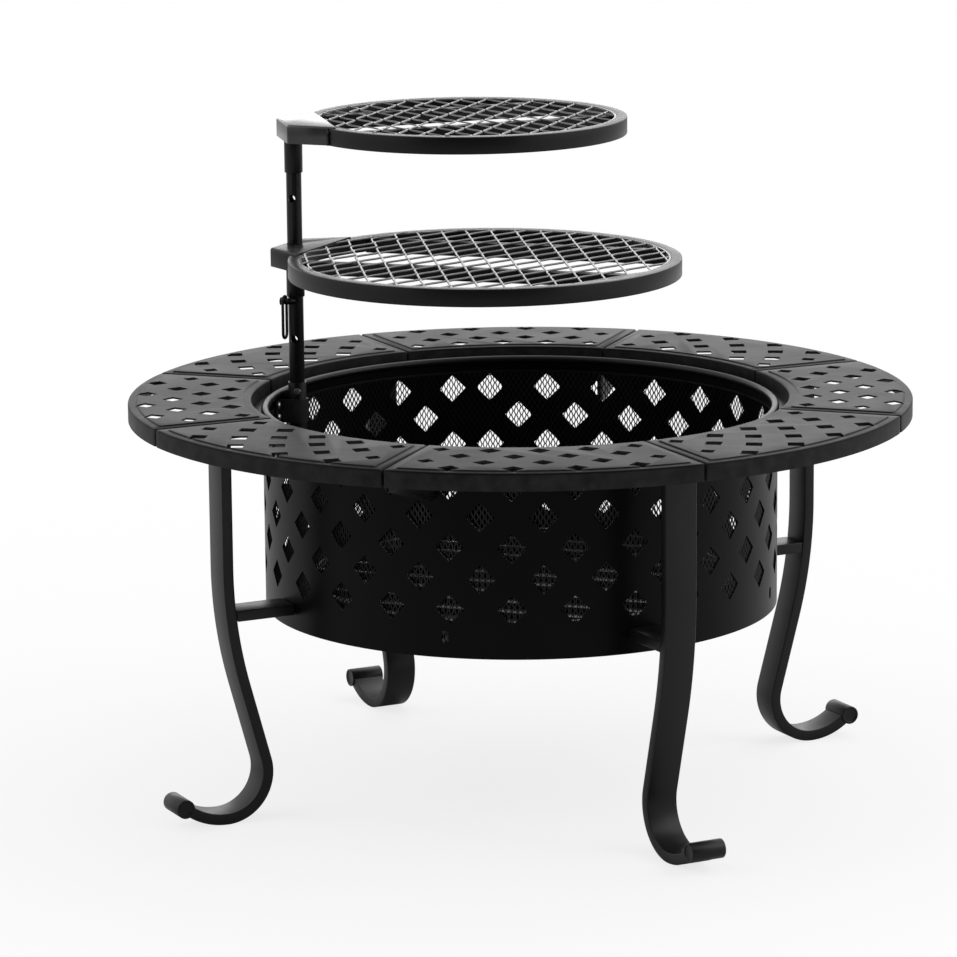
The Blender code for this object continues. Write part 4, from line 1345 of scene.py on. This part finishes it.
        # The liner takes the darker copy of the wire coat, which is painted shade inside the drum
        for number, start in enumerate((180.0 + self.liner_gap, 0.0), 1):
            liner = mesh_object(f"expanded_liner_{number}", self.liner_half(start, 180.0 - self.liner_gap))
            thicken(liner, self.liner_sheet, offset=0.0)
            dress(liner, ["mesh_liner"] if number == 1 else [], LINER_SHADED_COAT)
        bands = [self.band(end + low, end + high)
                 for end, (low, high) in zip((self.liner_low, self.liner_high), self.band_edges)]
        piece("liner_selvedge", joined(*bands), finish=LINER_SHADED_COAT)
        piece("pressed_base_pan", self.pan(), "base_pan", crease=20.0)


@dataclass
class FireGrate:
    """The loose grate on the drum's floor."""

    radius: float = 0.250
    bar: float = 0.010
    bottom: float = 0.240
    bars_each_side: int = 4
    pitch: float = 0.046
    bar_inset: float = 0.001
    edge: float = 0.0012
    foot_radius: float = 0.2445
    foot_wire: float = 0.004
    foot_edge: float = 0.0006
    pan_top: float = 0.2243

    def build(self) -> None:
        """Makes the grate in one welded piece."""
        low, high = self.bottom, self.bottom + self.bar
        shapes = [hoop(self.radius - self.bar, self.radius, low, high, 128, self.edge, rounds=3)]
        half = self.bar / 2.0
        for step in range(-self.bars_each_side, self.bars_each_side + 1):
            aside = self.pitch * step
            reach = math.sqrt((self.radius - half) ** 2 - aside ** 2)
            shapes.append(slab((-reach, aside - half), (reach, aside + half), low + self.bar_inset,
                               self.bar - 2.0 * self.bar_inset, self.edge))
        for quarter in range(4):
            foot = ray(45.0 + 90.0 * quarter) * self.foot_radius
            shapes.append(rod(foot + UP * self.pan_top, foot + UP * (low + half), self.foot_wire, 24,
                              self.foot_edge))
        piece("welded_fire_grate", joined(*shapes), "fire_grate", body=Body.FIRE_GRATE)


@dataclass
class Pole:
    """The pole with its cross holes."""

    radius: float = 0.009
    bore: float = 0.0075
    bottom: float = 0.345
    top: float = 0.7737
    hole: float = 0.0045
    hole_heights: tuple = (0.5165, 0.563, 0.6845)
    hole_direction: float = -90.0
    cut_edge: float = 0.00025

    def build(self) -> None:
        """Makes the pole."""
        tube = hoop(self.bore, self.radius, self.bottom, self.top, steps=72, soften=0.0003, rounds=2)
        bmesh.ops.translate(tube, verts=tube.verts[:], vec=POLE_AXIS)
        pole = mesh_object("drilled_pole", tube)
        out = ray(self.hole_direction) * PUNCH
        middles = [POLE_AXIS + UP * height for height in self.hole_heights]
        cut(pole, joined(*[rod(middle - out, middle + out, self.hole, sides=40) for middle in middles]))
        ease(pole, self.cut_edge)
        dress(pole, ["pole"], body=Body.POLE)


@dataclass
class Grate:
    """One cooking grate: ring, flattened mesh, two bars, bracket and sleeve."""

    label: str
    body: Body
    sleeve_body: Body
    bracket_finish: Finish
    radius: float
    plate_top: float
    swing: float
    sleeve_bottom: float
    mesh_turn: float
    bar_turn: float
    pole_passes: bool
    ring_to_pole: float = 0.018
    band: float = 0.0125
    depth: float = 0.020
    sheet: float = 0.002
    plate_back: float = 0.0135
    plate_front: float = 0.038
    half_width: float = 0.039
    flare: float = 34.0
    plate_fold: float = 0.0032
    plate_edge: float = 0.0004
    pole_room: float = 0.0002
    mesh_sheet: float = 0.0015
    mesh_rim: float = 0.0025
    rim_depth: float = 0.002
    strand: float = 0.0024
    strand_tilt: float = 22.0
    strand_steps: int = 7
    strand_curve: float = 0.55
    strand_edge: float = 0.0003
    short_way: float = 0.033
    long_way: float = 0.066
    bar_depth: float = 0.017
    bar_flange: float = 0.0127
    bar_edge: float = 0.0006
    bar_offsets: tuple = (0.505, -0.25)
    tube: float = 0.01075
    bore: float = 0.00945
    beads: int = 8
    bead: float = 0.0017
    bead_spread: float = 0.0004
    bead_shift: float = 0.0003
    # How far the beads stand off the ring, and lie inside the bracket's side and behind that point
    bead_stand: float = 0.0006
    bead_inset: float = 0.0008
    bead_back: float = 0.0004
    # How far below the ring's top the first bead is, and by how much all fall short of its depth
    bead_drop: float = 0.0028
    bead_room: float = 0.0052

    @property
    def ring_top(self) -> float:
        """Height of the ring's flange."""
        return self.plate_top - self.sheet - WELD_GAP

    @property
    def mesh_edge(self) -> float:
        """Radius of the mesh, which lies inside the ring's flange."""
        return self.radius - self.band - WELD_GAP

    @property
    def flare_slope(self) -> float:
        """How much each side of the bracket widens along it."""
        return math.tan(math.radians(self.flare))

    def place(self) -> Matrix:
        """From the grate's own frame on the pole's axis to the shared frame."""
        return Matrix.Translation(POLE_AXIS) @ turned(self.swing)

    def ring_place(self) -> Matrix:
        """From the middle of the ring to the shared frame."""
        return self.place() @ Matrix.Translation((self.ring_to_pole + self.radius, 0.0, 0.0))

    def add(self, name: str, shape: BMesh, move: Matrix, *nodes: str, finish: Finish = BLACK_COAT,
            body: Optional[Body] = None) -> None:
        """Moves a shape into the shared frame and makes a dressed piece of it.

        Args:
            name: the piece's name.
            shape: its shape.
            move: where the shape goes.
            nodes: CAD nodes that it stands for.
            finish: its finish.
            body: the body it rides on, where that isn't the grate's own.
        """
        bmesh.ops.transform(shape, matrix=move, verts=shape.verts[:])
        piece(name, shape, *nodes, finish=finish, body=body or self.body)

    def ring(self) -> BMesh:
        """The angle bar rolled into a hoop, flange on top.

        Returns:
            The closed shape.
        """
        low, high = self.ring_top - self.depth, self.ring_top
        profile = [(self.radius - self.sheet, low), (self.radius, low), (self.radius, high),
                   (self.radius - self.band, high), (self.radius - self.band, high - self.sheet),
                   (self.radius - self.sheet, high - self.sheet)]
        return lathe(profile, steps=180, soften=0.0007, rounds=3)

    def strands(self) -> BMesh:
        """The flattened mesh's strands: waves that touch each other at the bonds.

        Returns:
            The strands as thin surfaces.
        """
        edge = self.mesh_edge - self.mesh_rim / 2.0
        half_short, half_long = self.short_way / 2.0, self.long_way / 2.0
        rows = math.ceil(self.radius / half_short) + 1
        halves = math.ceil(self.radius / half_long) + 1
        lift = math.sin(math.radians(self.strand_tilt)) * self.strand / 2.0
        high = self.ring_top - lift
        shape = bmesh.new()
        for row in range(-rows, rows):
            made = bmesh.ops.create_grid(shape, x_segments=2 * halves * self.strand_steps, y_segments=1,
                                         size=1.0)
            for vert in made["verts"]:
                along = vert.co.x * halves * half_long
                share = along / half_long - math.floor(along / half_long)
                odd = (math.floor(along / half_long) + row) % 2
                rise = (share * share * (3.0 - 2.0 * share) * self.strand_curve
                        + share * (1.0 - self.strand_curve))
                level = 1.0 - rise if odd else rise
                across = row * half_short + self.strand / 2.0 + level * (half_short - self.strand)
                side = vert.co.y
                vert.co = Vector((along, across + side * self.strand / 2.0, high + side * lift))
        outside = [face for face in shape.faces if min(vert.co.xy.length for vert in face.verts) > edge]
        bmesh.ops.delete(shape, geom=outside, context="FACES")
        for vert in shape.verts:
            if vert.co.xy.length > edge:
                vert.co.xy *= edge / vert.co.xy.length
        face_outwards(shape)
        return shape

    def build_mesh(self) -> None:
        """Makes the mesh: strands and their selvedge inside the ring's flange."""
        name = f"{self.label}_mesh"
        obj = mesh_object("expanded_" + name, self.strands())
        obj.data.transform(self.ring_place() @ turned(self.mesh_turn))
        thicken(obj, self.mesh_sheet)
        ease(obj, self.strand_edge, sharper=60.0)
        dress(obj, [name], WIRE_COAT, self.body, 50.0)
        outer, high = self.mesh_edge, self.ring_top
        rim = hoop(outer - self.mesh_rim, outer, high - self.rim_depth, high, 120, self.strand_edge, 1)
        self.add(name + "_selvedge", rim, self.ring_place(), finish=WIRE_COAT)

    def bar(self, offset: float) -> BMesh:
        """One angle bar under the mesh, a chord of the ring.

        Args:
            offset: how far it is from the ring's middle, as a share of the radius.

        Returns:
            The closed shape.
        """
        inside = self.radius - self.sheet - 4.0 * WELD_GAP
        high = self.ring_top - self.sheet - WELD_GAP
        side = math.copysign(1.0, offset)
        web = offset * self.radius
        reach = math.sqrt(inside ** 2 - (abs(web) + self.bar_flange) ** 2)
        profile = ((0.0, 0.0), (self.bar_flange, 0.0), (self.bar_flange, self.sheet),
                   (self.sheet, self.sheet), (self.sheet, self.bar_depth), (0.0, self.bar_depth))
        outline = [Vector((-reach, web + side * aside, high - drop)) for aside, drop in profile]
        shape = plate(outline, Vector((2.0 * reach, 0.0, 0.0)), self.bar_edge)
        bmesh.ops.transform(shape, matrix=turned(self.bar_turn), verts=shape.verts[:])
        return shape

    def tray(self) -> BMesh:
        """The bracket's bent sheet: a fan-shaped top with three sides folded down.

        Returns:
            The open sheet, its faces up and outwards.
        """
        front, back = self.plate_front, -self.plate_back
        front_half = self.half_width + self.flare_slope * (front - back)
        corners = ((front, front_half), (back, self.half_width), (back, -self.half_width),
                   (front, -front_half))
        shape = bmesh.new()
        top = shape.faces.new([shape.verts.new((x, y, self.plate_top)) for x, y in corners])
        sides = [edge for edge in top.edges if min(vert.co.x for vert in edge.verts) < front - HAIR]
        made = bmesh.ops.extrude_edge_only(shape, edges=sides)
        bmesh.ops.translate(shape, verts=only(BMVert, made["geom"]), vec=UP * -(self.depth + self.sheet))
        face_outwards(shape)
        if max(shape.faces, key=BMFace.calc_area).normal.z < 0.0:
            bmesh.ops.reverse_faces(shape, faces=shape.faces[:])
        round_edges(shape, [edge for edge in shape.edges if edge.is_manifold], self.plate_fold, 5)
        return shape

    def weld(self, side: float) -> BMesh:
        """The bead that joins a side of the bracket to the ring.

        Args:
            side: 1 or -1, which side of the bracket.

        Returns:
            Overlapping beads in one shape.
        """
        centre = self.ring_to_pole + self.radius
        reach = self.plate_front
        # Each round brings the point closer to where the bracket's side crosses the ring.
        for _ in range(24):
            aside = self.half_width + self.flare_slope * (reach + self.plate_back)
            reach = centre - math.sqrt(max((self.radius + self.bead_stand) ** 2 - aside ** 2, 0.0))
        aside = self.half_width + self.flare_slope * (reach + self.plate_back) - self.bead_inset
        oval = Matrix.Diagonal((1.0, 1.15, 1.0, 1.0))
        shape = bmesh.new()
        for step in range(self.beads):
            fall = (self.depth - self.bead_room) * step / (self.beads - 1)
            size = self.bead + self.bead_spread * ((step * 5) % 3)
            spot = Vector((reach - self.bead_back, side * (aside + self.bead_shift * ((step * 3) % 4)),
                           self.ring_top - self.bead_drop - fall))
            bmesh.ops.create_uvsphere(shape, u_segments=14, v_segments=9, radius=size,
                                      matrix=Matrix.Translation(spot) @ oval)
        return shape

    def build_bracket(self) -> None:
        """Makes the bracket with its room for the ring and the pole."""
        name = f"{self.label}_bracket"
        obj = mesh_object("folded_" + name, self.tray())
        thicken(obj, self.sheet)
        under = self.plate_top - self.sheet
        low = under - self.depth
        centre = Vector((self.ring_to_pole + self.radius, 0.0, 0.0))
        room = self.radius + 3.0 * WELD_GAP
        cut(obj, rod(centre + UP * (low - PUNCH / 2.0), centre + UP * under, room, sides=180))
        if self.pole_passes:
            high = self.plate_top + PUNCH / 2.0
            cut(obj, rod(UP * low, UP * high, self.bore + self.pole_room, sides=48))
        ease(obj, self.plate_edge, rounds=2, sharper=60.0)
        obj.data.transform(self.place())
        dress(obj, [name], self.bracket_finish, self.body, 30.0)
        self.add(name + "_weld", joined(self.weld(1.0), self.weld(-1.0)), self.place())

    def build(self) -> None:
        """Makes the grate's pieces."""
        ring = f"{self.label}_ring"
        self.add("rolled_" + ring, self.ring(), self.ring_place(), ring)
        self.build_mesh()
        for number, offset in enumerate(self.bar_offsets, 1):
            bar = f"{self.label}_bar_{number}"
            self.add("angle_" + bar, self.bar(offset), self.ring_place(), bar)
        self.build_bracket()
        tube = hoop(self.bore, self.tube, self.sleeve_bottom, self.ring_top, 64, soften=0.0004, rounds=2)
        sleeve = f"{self.label}_sleeve"
        self.add("turned_" + sleeve, tube, Matrix.Translation(POLE_AXIS), sleeve, body=self.sleeve_body)


@dataclass
class HitchPin:
    """The bent pin under the lower sleeve and the long wire ring on its arm."""

    direction: float = -90.0
    height: float = 0.563
    radius: float = 0.0038
    rear: float = 0.016
    nose: float = 0.001
    nose_share: float = 0.75
    arm: float = 0.0158
    arm_length: float = 0.013
    bend: float = 0.004
    # Length and widening of each step of the arm's flared end
    flare: tuple = ((0.0004, 1.20), (0.0022, 1.04), (0.0004, 0.85))
    ring_wire: float = 0.00175
    ring_half: float = 0.0060
    ring_drop: float = 0.044
    ring_aside: float = 0.0080

    def place(self) -> Matrix:
        """From the pin's own frame to the shared frame."""
        return Matrix.Translation(POLE_AXIS + UP * self.height) @ turned(self.direction)

    def pin(self) -> BMesh:
        """The bent pin with its flared end.

        Returns:
            The closed shape.
        """
        start = Vector((self.nose - self.rear, 0.0, 0.0))
        circle = bmesh.new()
        stand = Matrix.Translation(start) @ Matrix.Rotation(math.pi / 2.0, 4, "Y")
        made = bmesh.ops.create_circle(circle, segments=24, radius=self.radius, matrix=stand)
        sweep = Sweep([vert.co.copy() for vert in made["verts"]])
        circle.free()
        corner = self.arm - self.bend
        sweep.straight(Vector((corner, 0.0, 0.0)) - start)
        sweep.bend(Vector((corner, -self.bend, 0.0)), UP, -90.0, steps=8)
        flared = sum(run for run, _ in self.flare)
        sweep.straight(ACROSS * -(self.arm_length - self.bend - flared))
        for run, grow in self.flare:
            sweep.straight(ACROSS * -run, grow)
        nose = rod(start, Vector((-self.rear, 0.0, 0.0)), self.radius, sides=24,
                   end_radius=self.radius * self.nose_share)
        return joined(sweep.closed(), nose)

    def ring(self) -> BMesh:
        """The long wire ring on the arm.

        Returns:
            The closed shape.
        """
        half = self.ring_half
        top = self.radius + self.ring_wire + WELD_GAP - half
        low = half - self.ring_drop
        shape = bmesh.new()
        stand = Matrix.Translation((half, -self.ring_aside, top))
        bmesh.ops.create_circle(shape, segments=16, radius=self.ring_wire, matrix=stand)
        loop = shape.verts[:] + shape.edges[:]
        for height, run in ((top, low - top), (low, top - low)):
            made = bmesh.ops.spin(shape, geom=loop, cent=(0.0, -self.ring_aside, height), axis=ACROSS,
                                  dvec=ORIGIN, angle=-math.pi, steps=20)
            made = bmesh.ops.extrude_edge_only(shape, edges=only(BMEdge, made["geom_last"]))
            moved = only(BMVert, made["geom"])
            bmesh.ops.translate(shape, verts=moved, vec=UP * run)
            loop = moved + [edge for edge in only(BMEdge, made["geom"])
                            if edge.is_boundary and all(vert in moved for vert in edge.verts)]
        bmesh.ops.remove_doubles(shape, verts=shape.verts[:], dist=THREAD)
        face_outwards(shape)
        bmesh.ops.translate(shape, verts=shape.verts[:], vec=(self.arm, 0.0, 0.0))
        return shape

    def build(self) -> None:
        """Makes the pin and its ring."""
        for name, shape, body, node in (("bent_hitch_pin", self.pin(), Body.HITCH_PIN, "hitch_pin"),
                                        ("wire_pin_ring", self.ring(), Body.PIN_RING, "pin_ring")):
            bmesh.ops.transform(shape, matrix=self.place(), verts=shape.verts[:])
            piece(name, shape, node, body=body)


@dataclass
class Studio:
    """Floor, world, lamps and the camera at the photograph's view."""

    camera_place: tuple = (1.6806, -4.8808, 1.4457)
    camera_heading: float = 109.547
    camera_pitch: float = 11.836
    camera_roll: float = -0.502
    lens: float = 169.08
    sensor: float = 36.0
    sight: float = 200.0
    world_level: float = 0.55
    floor_half: float = 30.0
    floor_tone: float = 0.92
    floor_roughness: float = 0.9
    # The floor's glow to the camera, under the object and far from it, and where it fades
    floor_glow: tuple = (0.78, 1.0)
    floor_fade: tuple = (0.45, 2.0)
    card_tone: float = 0.02
    card_distance: float = 4.0
    card_width: float = 7.0
    card_height: float = 4.6
    lamp_aim: tuple = (0.0, 0.0, 0.45)
    # Name, place, size and power of each lamp
    lamps: tuple = (
        ("key_left", (-3.2, -1.6, 3.4), (3.0, 3.0), 45.0),
        ("key_right", (3.6, 0.6, 2.8), (3.0, 3.0), 60.0),
        ("back_top", (0.4, 3.2, 3.8), (3.6, 3.6), 60.0),
        ("back_low", (-1.7, 4.8, 1.25), (4.0, 0.6), 22.0),
    )

    def build_camera(self) -> None:
        """Sets the camera."""
        ahead = ray(self.camera_heading)
        pitch = math.radians(self.camera_pitch)
        forward = ahead * math.cos(pitch) - UP * math.sin(pitch)
        right = Vector((ahead.y, -ahead.x, 0.0))
        above = right.cross(forward)
        roll = math.radians(self.camera_roll)
        rolled_right = right * math.cos(roll) + above * math.sin(roll)
        rolled_above = above * math.cos(roll) - right * math.sin(roll)
        eye = bpy.data.cameras.new("photo_view")
        eye.lens = self.lens
        eye.sensor_width = self.sensor
        eye.clip_end = self.sight
        holder = bpy.data.objects.new("photo_view", eye)
        axes = Matrix((rolled_right, rolled_above, -forward)).transposed().to_4x4()
        holder.matrix_world = Matrix.Translation(self.camera_place) @ axes
        bpy.context.scene.collection.objects.link(holder)
        bpy.context.scene.camera = holder

    def build_world(self) -> None:
        """A plain level for the object's light, and white where the background is seen."""
        world = bpy.data.worlds.new("studio")
        world.use_nodes = True
        tree = world.node_tree
        path = add_node(tree, "LightPath").outputs
        seen = maths(tree, "MAXIMUM", path["Is Camera Ray"], path["Is Transmission Ray"])
        also = maths(tree, "MAXIMUM", seen, path["Is Glossy Ray"])
        level = add_node(tree, "MapRange", {"Value": also, "To Min": self.world_level, "To Max": 1.0})
        feed(tree, tree.nodes["Background"], {"Color": WHITE, "Strength": level.outputs["Result"]})
        bpy.context.scene.world = world

    def matt_paint(self, name: str, tone: float, roughness: float) -> Material:
        """A grey paint without gloss.

        Args:
            name: its name.
            tone: its grey.
            roughness: its roughness.

        Returns:
            The material.
        """
        paint = bpy.data.materials.new(name)
        paint.use_nodes = True
        feed(paint.node_tree, paint.node_tree.nodes["Principled BSDF"], {
            "Base Color": (tone, tone, tone, 1.0), "Roughness": roughness, "Specular IOR Level": 0.0})
        return paint

    def build_floor(self) -> None:
        """A pale floor that keeps the object's shadow and meets the white background."""
        shape = bmesh.new()
        bmesh.ops.create_grid(shape, x_segments=8, y_segments=8, size=self.floor_half)
        floor = mesh_object("studio_floor", shape)
        paint = self.matt_paint("studio_floor_paint", self.floor_tone, self.floor_roughness)
        tree = paint.node_tree
        place = add_node(tree, "TexCoord").outputs["Object"]
        away = add_node(tree, "VectorMath", {0: place}, operation="LENGTH").outputs["Value"]
        fade = add_node(tree, "MapRange", {
            "Value": away, "From Min": self.floor_fade[0], "From Max": self.floor_fade[1],
            "To Min": self.floor_glow[0], "To Max": self.floor_glow[1]}).outputs["Result"]
        path = add_node(tree, "LightPath").outputs
        mix = add_node(tree, "MixShader", {
            0: maths(tree, "MULTIPLY", path["Is Camera Ray"], fade),
            1: tree.nodes["Principled BSDF"].outputs[0], 2: add_node(tree, "Emission").outputs[0]})
        feed(tree, tree.nodes["Material Output"], {"Surface": mix.outputs[0]})
        floor.data.materials.append(paint)

    def build_card(self) -> None:
        """A dark card before the object, which only its glossy faces see."""
        towards = ray(self.camera_heading + 180.0)
        aside = UP.cross(towards) * self.card_width / 2.0
        foot = towards * self.card_distance
        head = foot + UP * self.card_height
        shape = bmesh.new()
        shape.faces.new([shape.verts.new(corner)
                         for corner in (foot - aside, foot + aside, head + aside, head - aside)])
        card = mesh_object("dark_card", shape)
        card.data.materials.append(self.matt_paint("dark_card_paint", self.card_tone, 1.0))
        card.visible_camera = False
        card.visible_diffuse = False
        card.visible_shadow = False

    def build_lamps(self) -> None:
        """Large soft lamps that face the object."""
        for name, place, size, power in self.lamps:
            lamp = bpy.data.lights.new(name, "AREA")
            lamp.shape = "RECTANGLE"
            lamp.size, lamp.size_y = size
            lamp.energy = power
            holder = bpy.data.objects.new(name, lamp)
            holder.location = place
            holder.rotation_mode = "QUATERNION"
            holder.rotation_quaternion = (Vector(self.lamp_aim) - Vector(place)).to_track_quat("-Z", "Y")
            bpy.context.scene.collection.objects.link(holder)

    def build(self) -> None:
        """Sets up the whole studio."""
        bpy.context.scene.view_settings.view_transform = "Standard"
        self.build_camera()
        self.build_world()
        self.build_floor()
        self.build_card()
        self.build_lamps()


def main() -> None:
    """Builds the studio and the dressed fire pit, and reports each piece."""
    logging.basicConfig(level=logging.INFO, format="%(name)s %(message)s")
    Studio().build()
    Table().build()
    Legs().build()
    Drum().build()
    FireGrate().build()
    Socket().build()
    Pole().build()
    # The upper bracket takes the lighter copy of the black coat as a painted highlight, and the lower one
    # takes the plain black coat
    Grate("upper", Body.UPPER_GRATE, Body.UPPER_GRATE, UPPER_BRACKET_LIT_COAT, radius=0.1905, plate_top=0.776,
          swing=31.5, sleeve_bottom=0.715, mesh_turn=86.5, bar_turn=12.0, pole_passes=False).build()
    Grate("lower", Body.LOWER_GRATE, Body.LOWER_SLEEVE, BLACK_COAT, radius=0.2286, plate_top=0.630,
          swing=-5.0, sleeve_bottom=0.5671, mesh_turn=94.0, bar_turn=7.0, pole_passes=True).build()
    HitchPin().build()


if __name__ == "__main__":
    main()
